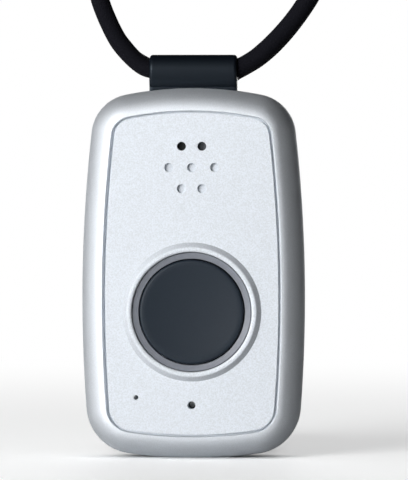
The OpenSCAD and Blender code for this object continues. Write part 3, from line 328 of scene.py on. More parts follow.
def through_rings(name, loops, ring=False):
    """New piece: a circle set on the first loop of points and extruded through the others, then closed."""
    deselect()
    bpy.ops.mesh.primitive_circle_add(vertices=len(loops[0]))
    piece = bpy.context.object
    piece.name = piece.data.name = name
    piece.location = (0, 0, 0)
    bpy.ops.object.mode_set(mode="EDIT")
    mesh = bmesh.from_edit_mesh(piece.data)
    mesh.verts.ensure_lookup_table()
    places = {}
    for i, point in enumerate(loops[0]):
        mesh.verts[i].co = point
        places[i] = i
    for loop in loops[1:]:
        bpy.ops.mesh.extrude_region()
        mesh = bmesh.from_edit_mesh(piece.data)
        mesh.verts.index_update()
        fresh = {}
        for vert in mesh.verts:
            if vert.select:
                base = [e.other_vert(vert).index for e in vert.link_edges if not e.other_vert(vert).select]
                fresh[vert.index] = places[base[0]]
                vert.co = loop[places[base[0]]]
        places = fresh
    if ring:
        bpy.ops.mesh.select_all(action="DESELECT")
        bpy.ops.mesh.select_non_manifold()
        bpy.ops.mesh.bridge_edge_loops()
    else:
        close_ends(piece, [loops[0], loops[-1]])
    bpy.ops.mesh.select_all(action="SELECT")
    bpy.ops.mesh.normals_make_consistent(inside=False)
    bpy.ops.object.mode_set(mode="OBJECT")
    return piece


def close_ends(piece, ends):
    for end in ends:
        bpy.ops.mesh.select_all(action="DESELECT")
        mesh = bmesh.from_edit_mesh(piece.data)
        wanted = {tuple(round(c, 7) for c in p) for p in end}
        for vert in mesh.verts:
            vert.select = vert.is_boundary and tuple(round(c, 7) for c in vert.co) in wanted
        mesh.select_flush(True)
        span = max((p - end[0]).length for p in end)
        if span < 1e-6:
            bpy.ops.mesh.merge(type="CENTER")
        else:
            bpy.ops.mesh.edge_face_add()


def turned(name, x, z, profile, count=96, ring=False):
    """New round piece about an axis towards the face, from [radius, level] pairs."""
    return through_rings(name, [circle(x, z, r, level, count) for r, level in profile], ring)


def combine(piece, other, operation="DIFFERENCE"):
    deselect()
    piece.select_set(True)
    bpy.context.view_layer.objects.active = piece
    step = piece.modifiers.new("shape", "BOOLEAN")
    step.operation, step.object, step.solver = operation, other, "EXACT"
    bpy.ops.object.modifier_apply(modifier=step.name)
    bpy.data.objects.remove(other)
    return piece


def drill(piece, x, z, radius, low, high, edge=0.0, count=48):
    """Round hole from low to high, with its mouth rounded by edge."""
    profile = [(radius, low), (radius, high - edge)]
    if edge:
        profile += [(radius + edge * (1 - math.cos(a)), high - edge * (1 - math.sin(a)))
                    for a in (math.radians(22.5 * i) for i in range(1, 4))]
        profile += [(radius + edge, high), (radius + edge, high + 0.5)]
    return combine(piece, turned("drill", x, z, profile, count))


def dress(piece, body, material, nodes=(), angle=30):
    deselect()
    piece.select_set(True)
    bpy.context.view_layer.objects.active = piece
    bpy.ops.object.shade_smooth_by_angle(angle=math.radians(angle))
    step = piece.modifiers.new("even", "WEIGHTED_NORMAL")
    step.keep_sharp = True
    bpy.ops.object.modifier_apply(modifier=step.name)
    piece.data.materials.clear()
    piece.data.materials.append(material)
    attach(piece, body)
    if nodes:
        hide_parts(*nodes)
    return piece


# The neck cord, first, because it has to be where its solids are
LEFT_ROUTE = [
    (-7, 0, 78.2), (-8.5, 0, 78.3), (-10, 0, 78.8), (-12, 0, 80.3), (-14, 0, 82.5), (-15.5, 0, 84.5),
    (-17.5, 0, 88.5), (-19, 0, 92.5), (-20, 0, 96.5), (-20.5, 1.5, 100.5), (-21, 5, 103.5),
    (-21, 9, 104), (-21, 13, 102), (-21, 15.5, 98.5), (-20.5, 16, 95), (-20, 16, 92.5),
    (-18.5, 16, 88.5), (-16.5, 16, 84.5), (-15, 16, 82.5), (-13, 16, 80.5), (-10.5, 16, 79),
    (-8, 16, 77.5), (-6.5, 16, 75), (-6, 16, 72), (-6, 16, 66), (-8, 15.5, 60), (-11, 15, 54),
    (-14.5, 14.5, 48), (-17, 14, 42), (-17.5, 14, 37), (-17.5, 14, 31.5)]
RIGHT_ROUTE = [
    (7, 0, 78.2), (8.5, 0, 78.4), (10, 0, 79), (12.5, 0, 80.5), (15, 0, 82.6), (17.5, 0, 85.1),
    (20, 0, 88), (22.5, 0, 91.5), (24.5, 0, 95), (26, 1.5, 99.5), (26.5, 5, 102.5),
    (26.5, 9, 103), (26, 13, 101), (25, 15.5, 97.5), (23.5, 16, 94), (22, 16, 91.5),
    (19.5, 16, 88), (17, 16, 85), (14.5, 16, 82.5), (12, 16, 80.5), (9.5, 16, 79), (7, 16, 77.5),
    (5.5, 16, 75), (5, 16, 72), (5, 16, 66), (6.5, 15.5, 59), (9, 15, 52), (12, 14.5, 44),
    (13.8, 13.5, 36), (14, 13, 28), (13.9, 13, 20), (13.9, 13, 13), (13.9, 13, 9.75),
    (13.93, 13.39, 7.28), (13.97, 14.53, 5.05), (14.02, 16.3, 3.28), (14.07, 18.53, 2.14)]
TAIL_ROUTE = [
    (-17.54, 18.98, 6.2), (-17.52, 16.97, 7.22), (-17.5, 15.38, 8.82), (-17.5, 14.35, 10.83),
    (-17.5, 14, 13.05), (-17.5, 14, 15), (-17.5, 14, 17.5)]
RUN_SHARE = 1 / 6
REVERSE_AT = 1.5 + RUN_SHARE / 2
HANK_TURNS = 2.5 + RUN_SHARE
FIRST_RUN_IN = 0.6


def loop_half(s):
    return HANK_IN + HANK_STEP * (abs(s) if abs(s) > 0.25 else 2 * s * s + 0.125)


def climb(s):
    return 0 if s < -0.25 else 1 if s > 0.25 else (1 + math.sin(2 * math.pi * s)) / 2


def waist(y):
    past = max(abs(y) - TIE_W / 2, 0)
    return 0 if abs(y) > HANK_RUN else math.cos(math.pi / 2 * past / (HANK_RUN - TIE_W / 2)) ** 2


def hank_point(f):
    """Point of the hank after f turns from the start of its first run."""
    g = f - math.floor(f + 1e-6)
    second = g >= 0.5
    h = g - 0.5 if second else g
    a = loop_half(f - REVERSE_AT)
    if h < RUN_SHARE:
        across, along = a - (FIRST_RUN_IN if f < 0.5 else 0), HANK_RUN * (2 * h / RUN_SHARE - 1)
        narrow = waist(along)
    else:
        turn = math.pi * (h - RUN_SHARE) / (0.5 - RUN_SHARE)
        ease = FIRST_RUN_IN * math.cos(turn / 2) ** 2 if f < 0.5 else 0
        across, along, narrow = a * math.cos(turn) - ease, HANK_RUN + a * math.sin(turn), 0
    side = -1 if second else 1
    return Vector((HANK_X + side * (across - HANK_DRAW * narrow), HANK_Y + side * along,
                   CORD_R + HANK_LAYER * climb(f - REVERSE_AT) + (TIE_T + TIE_SLACK) * narrow))


def whole_right_route():
    start = hank_point(0) - Vector((0, 2 * CORD_R, 0))
    end = hank_point(HANK_TURNS) - Vector((0, 2 * CORD_R, 0))
    turns = [hank_point(min(i / 36, HANK_TURNS)) for i in range(round(36 * HANK_TURNS) + 1)]
    return ([Vector(p) for p in RIGHT_ROUTE] + [start - Vector((0, 1, 0)), start] + turns
            + [end, end - Vector((0, 0.8, 0))] + [Vector(p) for p in TAIL_ROUTE])


def smooth_path(points, step):
    """Points a step apart on one smooth curve through the given ones, and its length."""
    points = [points[0] * 2 - points[1]] + points + [points[-1] * 2 - points[-2]]
    fine = []
    for p0, p1, p2, p3 in zip(points, points[1:], points[2:], points[3:]):
        t01, t12, t23 = [max((b - a).length, 1e-6) ** 0.5 for a, b in ((p0, p1), (p1, p2), (p2, p3))]
        m1 = (p2 - p1) + t12 * ((p1 - p0) / t01 - (p2 - p0) / (t01 + t12))
        m2 = (p2 - p1) + t12 * ((p3 - p2) / t23 - (p3 - p1) / (t12 + t23))
        for i in range(20):
            t = i / 20
            fine.append((2 * t**3 - 3 * t**2 + 1) * p1 + (t**3 - 2 * t**2 + t) * m1
                        + (3 * t**2 - 2 * t**3) * p2 + (t**3 - t**2) * m2)
    fine.append(points[-2])
    gone = [0]
    for a, b in zip(fine, fine[1:]):
        gone.append(gone[-1] + (b - a).length)
    count = round(gone[-1] / step)
    out, k = [], 0
    for i in range(count + 1):
        want = gone[-1] * i / count
        while k < len(fine) - 2 and gone[k + 1] < want:
            k += 1
        share = (want - gone[k]) / max(gone[k + 1] - gone[k], 1e-9)
        out.append(fine[k].lerp(fine[k + 1], min(share, 1)))
    return out, gone[-1]


STRANDS, LAY_LENGTH, BRAID_RELIEF, YARN_RISE = 12, 9.5, 0.06, 0.05


def braid_height(around, along):
    """Relief of a braid of strands that wind both ways and pass over and under in pairs, from 0 to 1."""
    a = STRANDS * (around + along / LAY_LENGTH)
    b = STRANDS * (around - along / LAY_LENGTH)
    over = (math.floor(a) + math.floor(b)) % 4 < 2
    u, v = a - math.floor(a), b - math.floor(b)
    top = math.sin(math.pi * u) if over else math.sin(math.pi * v)
    return top ** 0.6


def braided_cord(name, route, sides=40, step=0.35):
    """Tube along a route, with the braid in its surface and a UV map that follows it."""
    path, length = smooth_path(route, step)
    tangents = [(path[min(i + 1, len(path) - 1)] - path[max(i - 1, 0)]).normalized() for i in range(len(path))]
    up = Vector((0, 0, 1))
    across = (up - up.dot(tangents[0]) * tangents[0]).normalized()
    verts, faces = [], []
    for i, (p, t) in enumerate(zip(path, tangents)):
        across = (across - across.dot(t) * t).normalized()
        other = t.cross(across)
        for k in range(sides):
            a = 2 * math.pi * k / sides
            r = CORD_R + YARN_RISE + BRAID_RELIEF * braid_height(k / sides, i * step)
            point = p + r * (math.cos(a) * across + math.sin(a) * other)
            verts.append(Vector((point.x, point.y, max(point.z, 0.02))) * MM)
    n = len(path)
    for i in range(n - 1):
        for k in range(sides):
            a, b = i * sides + k, i * sides + (k + 1) % sides
            faces.append((a, b, b + sides, a + sides))
    faces.append(tuple(range(sides - 1, -1, -1)))
    faces.append(tuple((n - 1) * sides + k for k in range(sides)))
    mesh = bpy.data.meshes.new(name)
    mesh.from_pydata(verts, [], faces)
    layer = mesh.uv_layers.new(name="lay")
    for face in mesh.polygons:
        quad = len(face.vertices) == 4
        wrap = quad and face.vertices[1] % sides == 0
        for corner, vert in zip(face.loop_indices, face.vertices):
            i, k = divmod(vert, sides)
            u = 1 if wrap and k == 0 else k / sides
            layer.data[corner].uv = (u, i * step / LAY_LENGTH)
    mesh.polygons.foreach_set("use_smooth", [True] * len(mesh.polygons))
    piece = bpy.data.objects.new(name, mesh)
    bpy.context.collection.objects.link(piece)
    return piece, [list(p * MM) for p in path], length * MM


def braid_finish():
    """Matte black yarn: thin threads that run along each strand, with a faint cool speckle."""
    made = plain("cord_yarn", (0.0035, 0.0037, 0.0052), 0.85, Specular_IOR_Level=0.12, Sheen_Weight=0.03,
                 Sheen_Roughness=0.4)
    return grain(made, 420, 0.6, tint=(1.05, 1.0, 1.35), detail=3, bump=0.00004, coords="UV",
                 stretch=(0.35, 0.35, 0.35))


CORD = braid_finish()
whole_left_route = [Vector((7, 0, SLEEVE_Z))] + [Vector(p) for p in LEFT_ROUTE]
left_cord, left_path, left_length = braided_cord("neck_cord_left", whole_left_route)
right_cord, right_path, right_length = braided_cord("neck_cord_right", whole_right_route())
for cord, nodes in ((left_cord, ["cord_in_loop", "lanyard_cord_left"]),
                    (right_cord, ["lanyard_cord_right", "lanyard_hank", "lanyard_cord_tail"])):
    cord.data.materials.append(CORD)
    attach(cord, "device")
    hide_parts(*nodes)


# What the cord carries: the tie of the hank and the two halves of the clasp that lets go
def tie_loop(y, inset, hole=False):
    """Rounded outline of the tie, or of its opening, at a depth."""
    half = [loop_half(s + RUN_SHARE / 2 - REVERSE_AT) - HANK_DRAW + CORD_R + HANK_CLEAR for s in (0.5, 0)]
    wall, corner = (TIE_T, 1.2) if hole else (0, 2)
    low_x, high_x = HANK_X - half[0] - TIE_T + wall + inset, HANK_X + half[1] + TIE_T - wall - inset
    low_z, high_z = wall + inset, TIE_HIGH - wall - inset
    points = []
    for x, z, turn in ((high_x, low_z, -90), (high_x, high_z, 0), (low_x, high_z, 90), (low_x, low_z, 180)):
        r = corner - (inset if not hole else 0)
        x, z = x - math.copysign(r, x - HANK_X), z + (r if z < TIE_HIGH / 2 else -r)
        points += [Vector((x, y, z)) * MM + r * MM * Vector((unit(a).x, 0, unit(a).y))
                   for a in (math.radians(turn + 9 * i) for i in range(11))]
    return points


def hank_band():
    """Moulded band with rounded edges and a sunk track between two rails."""
    half = TIE_W / 2
    outer = [(-half, 0.25), (-half + 0.07, 0.07), (-half + 0.25, 0), (-half + 0.8, 0), (-half + 0.95, 0.18),
             (half - 0.95, 0.18), (half - 0.8, 0), (half - 0.25, 0), (half - 0.07, 0.07), (half, 0.25)]
    inner = [(half, -0.12), (half - 0.2, 0), (-half + 0.2, 0), (-half, -0.12)]
    loops = [tie_loop(HANK_Y + y, inset) for y, inset in outer]
    loops += [tie_loop(HANK_Y + y, inset, hole=True) for y, inset in inner]
    band = through_rings("hank_band", loops, ring=True)
    stud = [(1.5, -0.5), (1.5, -0.12), (1.44, -0.03), (1.35, 0), (1.0, 0), (0.9, -0.1), (0, -0.14)]
    loops = [level_circle(HANK_X + 1.5, HANK_Y, TIE_HIGH + z, r, 48) for r, z in stud]
    combine(band, through_rings("stud", loops), "UNION")
    return dress(band, "device", TIE, ["hank_tie"])


def clasp_part(name, low, up, core, node_name):
    """Half of the clasp, from its cord end at height low towards the other half, with finger grooves round it."""
    grip = [(CLASP_R, 0.6), (CLASP_R, 1.6)]
    for k in range(5):
        start = 1.8 + 1.0 * k
        grip += [(CLASP_R, start), (CLASP_R - 0.2, start + 0.18), (CLASP_R - 0.2, start + 0.42), (CLASP_R, start + 0.6)]
    bore = CORD_R + 0.15
    profile = [(0, 2), (bore, 2), (bore, 0), (CLASP_R - 0.6, 0), (CLASP_R - 0.45, 0.05), (CLASP_R - 0.05, 0.45)]
    profile += grip + [(CLASP_R, CLASP_L - 0.35), (CLASP_R - 0.1, CLASP_L - 0.1), (CLASP_R - 0.35, CLASP_L)] + core
    loops = [level_circle(CLASP_X, CLASP_Y, low + up * z, r, 64) for r, z in profile]
    return dress(through_rings(name, loops), "device", DARK, [node_name], angle=40)


CLASP_PIN = [(CLASP_R - 1.4, CLASP_L), (CLASP_R - 1.4, CLASP_L + 2.8), (CLASP_R - 1.6, CLASP_L + 3), (0, CLASP_L + 3)]
CLASP_BORE = [(CLASP_R - 1.3, CLASP_L), (CLASP_R - 1.3, CLASP_L - 3.2), (0, CLASP_L - 3.2)]
clasp_low = clasp_part("clasp_plug_half", CLASP_Z, 1, CLASP_PIN, "clasp_plug")
clasp_high = clasp_part("clasp_socket_half", CLASP_Z + 2 * CLASP_L, -1, CLASP_BORE, "clasp_socket")
band = hank_band()


# Front housing: rounded rim round the recess of the plate, and the walls behind it
def front_shell():
    bevel = [(RIM_W, PLATE_SEAT), (RIM_W, lambda up: PLATE_TOP - chamfer(up) - 0.04),
             (RIM_W - 0.02, lambda up: PLATE_TOP - chamfer(up) + 0.02),
             (lambda up: RIM_W - chamfer(up) + 0.03, PLATE_TOP - 0.03)]
    seam = [(0, JOINT + SEAM_BEVEL), (0.04, JOINT + 0.04), (SEAM_BEVEL, JOINT), (WALL, JOINT)]
    inner_r = FRONT_EDGE_R - WALL
    top = math.asin(CEILING / inner_r)
    inner = [(FRONT_EDGE_R - inner_r * math.cos(top * i / 8), inner_r * math.sin(top * i / 8)) for i in range(9)]
    piece = through_rings("front_housing_shell", [outline(a, b) for a, b in bevel] + rim_loops()
                          + [outline(a, b) for a, b in seam + inner])
    drill(piece, 0, BUTTON_Z, LIGHT_IN, CEILING - 1, PLATE_SEAT + 1, count=96)
    drill(piece, 0, BUTTON_Z, LIGHT_OUT + 1.35, PLATE_SEAT - 0.9, PLATE_SEAT + 1, count=96)
    drill(piece, 0, SOUND_Z, 5.5, CEILING - 1, PLATE_SEAT + 1)
    drill(piece, 0, SOUND_Z, 6.2, PLATE_SEAT - 0.15, PLATE_SEAT + 1)
    drill(piece, 0, MIC_Z, MIC_R, CEILING - 1, PLATE_SEAT + 1)
    drill(piece, PIPE_X, PIPE_Z, PIPE_R + FIT, CEILING - 1, PLATE_SEAT + 1)
    return dress(combine(piece, neck_cut()), "device", PEARL, ["front_housing"])


def chamfer(up):
    return 0.3 - 0.14 * up


def rim_level(share, up):
    """Level of the round edge at a share of its width from the side. Past a bend it flattens to RIM_LEAN degrees."""
    reach, bend = RIM_W - chamfer(up), RIM_BEND + (END_BEND - RIM_BEND) * up
    inset = share * reach
    bend_turn = math.acos(1 - bend / FRONT_EDGE_R)
    lean, most = math.radians(RIM_LEAN), math.pi / 2 - bend_turn
    tilt = lean + (most - lean) * (reach - max(inset, bend)) / (reach - bend)
    level = PLATE_TOP - (reach - bend) / (most - lean) * math.log(math.cos(lean) / math.cos(tilt))
    if inset < bend:
        level -= FRONT_EDGE_R * (math.sin(bend_turn) - math.sin(math.acos(1 - inset / FRONT_EDGE_R)))
    return level


def rim_loops():
    shares = [1 - i / 16 * 0.7 for i in range(17)] + [0.3 * (1 - i / 14) ** 2 for i in range(1, 15)]
    return [outline(lambda up, share=share: share * (RIM_W - chamfer(up)), lambda up, share=share: rim_level(share, up))
            for share in shares]


def neck_cut():
    """Cutter for the slot that the sleeve's neck passes through."""
    deselect()
    low, high = ANCHOR_Z - 1, BODY_H + 3
    bpy.ops.mesh.primitive_cube_add(size=1, location=(0, 0, (low + high) / 2 * MM),
                                    scale=((SLEEVE_W + 0.24) * MM, (NECK_T + 0.24) * MM, (high - low) * MM))
    bpy.ops.object.transform_apply(location=True, scale=True)
    return bpy.context.object


def rear_shell():
    inner_r = BACK_EDGE_R - WALL
    inner = [(BACK_EDGE_R - inner_r * math.sin(a), -SIDE_BAND - inner_r * math.cos(a))
             for a in (math.pi / 2 * i / 10 for i in range(11))]
    seam = [(WALL, JOINT), (SEAM_BEVEL, JOINT), (0.04, JOINT - 0.04), (0, JOINT - SEAM_BEVEL)]
    outer = [(BACK_EDGE_R * (1 - math.cos(a)), -SIDE_BAND - BACK_EDGE_R * math.sin(a))
             for a in (math.pi / 2 * i / 32 for i in range(33))]
    piece = through_rings("rear_cover_shell", [outline(a, b) for a, b in inner + seam + outer])
    for x, z in screw_places():
        drill(piece, x, z, 1.0, BACK - 1, FLOOR + 0.5)
        drill(piece, x, z, 1.75, BACK - 1, BACK + 1.3)
    for side in (-1, 1):
        drill(piece, side * CONTACT_X, CONTACT_Z, CONTACT_R + FIT, BACK - 1, FLOOR + 0.5)
    return dress(combine(piece, neck_cut()), "device", PEARL, ["rear_cover"])


def screw_places():
    side_low, side_top = heading(LOW_C - SIDE_C), heading(TOP_C - SIDE_C)
    low_turn, top_turn = heading(LOW_C - BASE_C), heading(TOP_C - CROWN_C)
    top = TOP_C + (TOP_CORNER_R - SCREW_INSET) * (unit(side_top) + unit(top_turn)).normalized()
    low = LOW_C + (BOTTOM_CORNER_R - SCREW_INSET) * (unit(side_low) + unit(low_turn)).normalized()
    return [(s * p.x, p.y) for p in (top, low) for s in (-1, 1)]


front_shell()
rear_shell()


# Face plate: flat, with the raised ring, two open sound holes, five dimples and the small holes
def face():
    def edge(further):
        return lambda up: RIM_W + PLATE_GROOVE - 0.05 * up + further
    rim = [(edge(0), PLATE_SEAT), (edge(0), PLATE_TOP - PLATE_BEVEL), (edge(0.035), PLATE_TOP - 0.035),
           (edge(PLATE_BEVEL), PLATE_TOP)]
    piece = through_rings("face_plate_panel", [outline(a, b, cut=False) for a, b in rim])
    crest = [(RIDGE_CREST_R - RIDGE_INNER_W * math.cos(math.radians(9 * i)),
              PLATE_TOP + (0.6 + 0.4 * math.sin(math.radians(9 * i))) * RIDGE_H) for i in range(11)]
    slope, fall = [], 0
    for i in range(1, 25):
        across = RIDGE_OUTER_W * i / 24
        turn = min(max((across - RIDGE_OUTER_W / 48 - RIDGE_CREST_W) / RIDGE_TURN_W, 0), 1)
        fall += math.sin(math.pi / 2 * turn)
        slope.append((RIDGE_CREST_R + across, fall))
    slope = [(r, CREST - RIDGE_H * f / fall) for r, f in slope]
    profile = ([(RIDGE_IN_R, PLATE_SEAT + 0.2)] + crest + slope[:-1]
               + [(RIDGE_TOE_R, PLATE_TOP - 0.002), (RIDGE_TOE_R, PLATE_SEAT + 0.2)])
    combine(piece, turned("ridge", 0, BUTTON_Z, profile, 128, ring=True), "UNION")
    drill(piece, 0, BUTTON_Z, RIDGE_IN_R, PLATE_SEAT - 1, PLATE_TOP + 2, count=128)
    for side in (-1, 1):
        drill(piece, side * SOUND_HALF, SOUND_Z + SOUND_ROW, SOUND_R, PLATE_SEAT - 1, PLATE_TOP, 0.08)
        drill(piece, side * SOUND_HALF, SOUND_Z - SOUND_ROW, SOUND_R, PLATE_TOP - DIMPLE_DEPTH, PLATE_TOP, 0.08)
    for k in (-1, 0, 1):
        drill(piece, k * SOUND_SIDE, SOUND_Z, SOUND_R, PLATE_TOP - DIMPLE_DEPTH, PLATE_TOP, 0.08)
    drill(piece, 0, MIC_Z, MIC_R, PLATE_SEAT - 1, PLATE_TOP, 0.22)
    drill(piece, PIPE_X, PIPE_Z, PIPE_R + FIT, PLATE_SEAT - 1, PLATE_TOP, 0.04)
    return dress(piece, "device", PLATE, ["face_plate"])


face()


# Button and the ring of light round it
def help_button():
    flange_top = CEILING - REST_GAP
    flange, flange_r = flange_top - BUTTON_FLANGE_T, BUTTON_R + BUTTON_FLANGE_W
    plunger_top = CEILING - BOARD_DROP + SWITCH_H + PLUNGER_RISE
    round_r = BUTTON_ROUND
    profile = [(0, plunger_top + 0.1), (STEM_R, plunger_top + 0.1), (STEM_R, flange), (flange_r, flange),
               (flange_r, flange_top), (BUTTON_R, flange_top)]
    profile += [(BUTTON_R - round_r * (1 - math.cos(a)), BUTTON_TOP - round_r * (1 - math.sin(a)))
                for a in (math.radians(10 * i) for i in range(10))]
    dish = BUTTON_R - round_r - 0.5
    profile += [(dish * (1 - i / 24), BUTTON_TOP - DISH_DEPTH * (1 - (1 - i / 24) ** 2)) for i in range(25)]
    return dress(turned("help_button", 0, BUTTON_Z, profile, 128), "button", SLATE, ["button_cap"])


def glow_ring():
    seat, flange, edge = PLATE_SEAT - LIGHT_FLANGE_T, LIGHT_OUT + LIGHT_FLANGE_W, 0.06
    fall = math.tan(math.radians(LIGHT_SLOPE))
    profile = [(LIGHT_IN, seat), (LIGHT_IN, LIGHT_LOW - edge), (LIGHT_IN + 0.02, LIGHT_LOW - 0.01),
               (LIGHT_IN + edge, LIGHT_LOW + edge * fall), (LIGHT_OUT - edge, LIGHT_TOP - edge * fall),
               (LIGHT_OUT - 0.02, LIGHT_TOP - 0.02), (LIGHT_OUT, LIGHT_TOP - edge), (LIGHT_OUT, PLATE_SEAT),
               (flange, PLATE_SEAT), (flange, seat)]
    ring = turned("glow_ring", 0, BUTTON_Z, profile, 128, ring=True)
    return dress(ring, "device", GUIDE, ["light_ring"])


help_button()
glow_ring()


# Small pieces in the shells: screws and charge contacts in the back, light pipe in the plate
def joined(pieces, name):
    deselect()
    for piece in pieces:
        piece.select_set(True)
    bpy.context.view_layer.objects.active = pieces[0]
    bpy.ops.object.join()
    pieces[0].name = pieces[0].data.name = name
    return pieces[0]


def copied(piece, moves):
    """The piece and a copy of it, with its own mesh, at each further place."""
    made = [piece]
    for x, z in moves:
        deselect()
        piece.select_set(True)
        bpy.context.view_layer.objects.active = piece
        bpy.ops.object.duplicate()
        copy = bpy.context.object
        bpy.ops.transform.translate(value=(x * MM, 0, z * MM))
        bpy.ops.object.transform_apply(location=True)
        made.append(copy)
    return made


def screws():
    """Pan heads with a six-lobed recess, drawn as one skin from the tip to the floor of the recess."""
    places = screw_places()
    x, z = places[0]
    tip, top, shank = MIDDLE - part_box("cover_screws")[0].y / MM, BACK + HEAD_SINK, 0.8
    turns = [2 * math.pi * k / 72 for k in range(72)]
    profile = [(0, tip), (shank - 0.2, tip), (shank, tip - 0.2), (shank, top + HEAD_T), (HEAD_R, top + HEAD_T),
               (HEAD_R, top + 0.3), (HEAD_R - 0.09, top + 0.09), (HEAD_R - 0.3, top)]
    loops = [circle(x, z, r, level, 72) for r, level in profile]
    for size, level in ((1, top), (1, top + 0.55), (0, top + 0.6)):
        lobes = [(a, size * (0.72 + 0.14 * math.cos(6 * a))) for a in turns]
        loops.append([at(x + r * math.cos(a), level, z + r * math.sin(a)) for a, r in lobes])
    heads = copied(through_rings("cover_screw", loops), [(a - x, b - z) for a, b in places[1:]])
    return dress(joined(heads, "cover_screw_heads"), "device", KEPT["steel"], ["cover_screws"])


def contacts():
    flange = FLOOR + 0.6
    profile = [(0, flange), (CONTACT_R + 0.6, flange), (CONTACT_R + 0.6, FLOOR), (CONTACT_R, FLOOR),
               (CONTACT_R, BACK + 0.22), (CONTACT_R - 0.07, BACK + 0.07), (CONTACT_R - 0.22, BACK),
               (0.42, BACK), (0.3, BACK + 0.08), (0, BACK + 0.12)]
    pads = copied(turned("contact_pad", -CONTACT_X, CONTACT_Z, profile, 48), [(2 * CONTACT_X, 0)])
    return dress(joined(pads, "contact_pads"), "device", KEPT["gold_contact"], ["charge_contacts"])


def light_dot():
    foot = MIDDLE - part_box("status_light_pipe")[1].y / MM
    profile = [(0, foot), (0.9, foot), (0.9, CEILING), (PIPE_R, CEILING), (PIPE_R, PLATE_TOP - 0.12),
               (PIPE_R - 0.04, PLATE_TOP - 0.04), (PIPE_R - 0.12, PLATE_TOP), (PIPE_R * 0.4, PLATE_TOP + 0.03),
               (0, PLATE_TOP + 0.035)]
    tip = turned("status_light_tip", PIPE_X, PIPE_Z, profile, 48)
    return dress(tip, "device", PIPE, ["status_light_pipe"])


# Sleeve that carries the cord: a round that narrows on its tangents to a neck
def sleeve_section(x, inset):
    r, t = SLEEVE_R - SLEEVE_ROUND * inset, NECK_T / 2 - NECK_ROUND * inset
    neck_top, low = BODY_H + NECK_RISE - SLEEVE_Z, ANCHOR_Z - 1.6 - SLEEVE_Z
    drop = -neck_top / math.sqrt(1 - (t / r) ** 2)
    turn = math.asin(neck_top / drop)
    places = [r * unit(math.pi * i / 48) for i in range(49)]
    under = [Vector((-r * math.cos(turn * i / 24), drop * math.sin(turn * i / 24))) for i in range(1, 25)]
    places += under + [Vector((-t, low)), Vector((t, low))] + [Vector((-p.x, p.y)) for p in under[::-1]]
    return [Vector((x, p.x, SLEEVE_Z + p.y)) * MM for p in places]


def cord_sleeve():
    half = SLEEVE_W / 2
    ends = [(half - SLEEVE_ROUND * (1 - math.sin(a)), 1 - math.cos(a))
            for a in (math.radians(11.25 * i) for i in range(9))]
    sections = ends[::-1] + [(-x, inset) for x, inset in ends]
    piece = through_rings("cord_sleeve", [sleeve_section(x, inset) for x, inset in sections])
    ring = [(SLEEVE_BORE_R * math.cos(a), SLEEVE_BORE_R * math.sin(a))
            for a in (2 * math.pi * k / 96 for k in range(96))]
    bore = through_rings("bore", [[Vector((x, y, SLEEVE_Z + z)) * MM for y, z in ring] for x in (-half - 1, half + 1)])
    return dress(combine(piece, bore), "device", SATIN, ["lanyard_loop"])


cord_sleeve()


# Finishes of the solids that stay as they are
def woven_mesh():
    """Fine guard mesh behind the sound holes: dark threads both ways, paler towards the right, which is painted light
    falling into the hole from the left.
    """
    made = plain("dust_mesh", (0.02, 0.021, 0.023), 0.65, Specular_IOR_Level=0.3)
    tree = made.node_tree
    place = place_on(tree)
    threads = []
    for direction in ("X", "Z"):
        wave = node(tree, "ShaderNodeTexWave", bands_direction=direction)
        wave.inputs["Scale"].default_value = 1050
        wave.inputs["Distortion"].default_value = 0.6
        tree.links.new(place, wave.inputs["Vector"])
        threads.append(wave.outputs["Fac"])
    weave = reckoned(tree, "MAXIMUM", *threads)
    # Painted light: the threads get paler towards the right
    painted_light_share = reckoned(tree, "MULTIPLY", weave, graded(tree, part_of(tree, place, "X"), -0.0016, 0.0016))
    shades = mixed(tree, painted_light_share, (0.003, 0.0032, 0.0036), (0.075, 0.08, 0.088))
    tree.links.new(shades, tree.nodes["Principled BSDF"].inputs["Base Color"])
    raise_by(tree, weave, 0.00005)
    return made


KEPT = {
    "black_plastic": DARK,
    "grey_silicone": grain(plain("silicone", (0.12, 0.13, 0.14), 0.6), 3000, 0.08, roughness=0.05),
    "board_green": grain(plain("board_mask", (0.01, 0.075, 0.03), 0.35), 900, 0.25, roughness=0.1, bump=0.00001),
    "steel": grain(plain("steel_sheet", (0.45, 0.46, 0.47), 0.3, Metallic=1.0), 2500, 0.08, roughness=0.08,
                   stretch=(1, 1, 12)),
    "brass": grain(plain("brass_turned", (0.55, 0.38, 0.12), 0.3, Metallic=1.0), 3000, 0.08, roughness=0.08),
    "gold_contact": grain(plain("gold_plate", (0.62, 0.44, 0.13), 0.22, Metallic=1.0), 3500, 0.06, roughness=0.06),
    "mesh_cloth": woven_mesh(),
    "foam": grain(plain("foam_pad", (0.02, 0.02, 0.022), 0.9), 2500, 0.3, bump=0.00005),
    "chip_black": grain(plain("chip_epoxy", (0.012, 0.012, 0.013), 0.5), 5000, 0.2, roughness=0.06),
    "ceramic": grain(plain("patch_ceramic", (0.55, 0.42, 0.28), 0.5), 3000, 0.1, roughness=0.06),
    "cell_foil": grain(plain("cell_foil", (0.5, 0.51, 0.53), 0.35, Metallic=1.0), 600, 0.1, roughness=0.1,
                       bump=0.00003),
    "lead_wire": grain(plain("lead_sleeve", (0.35, 0.01, 0.008), 0.45), 3000, 0.1, roughness=0.05),
    "film_orange": grain(plain("film_amber", (0.55, 0.18, 0.02), 0.3), 2000, 0.12, roughness=0.06),
    "white_plastic": grain(plain("white_moulding", (0.72, 0.71, 0.66), 0.4), 3000, 0.05, roughness=0.05),
    "black_rubber": SATIN, "light_guide": PIPE, "cord_black": CORD, "pearl_shell": PEARL, "pearl_plate": PLATE,
    "button_grey": SLATE,
}
for part in frame["record"]["subparts"]:
    solid = frame["nodes"][part["node"]]
    solid.data.materials.clear()
    solid.data.materials.append(KEPT[part["material_slot"]])


screws()
contacts()
light_dot()


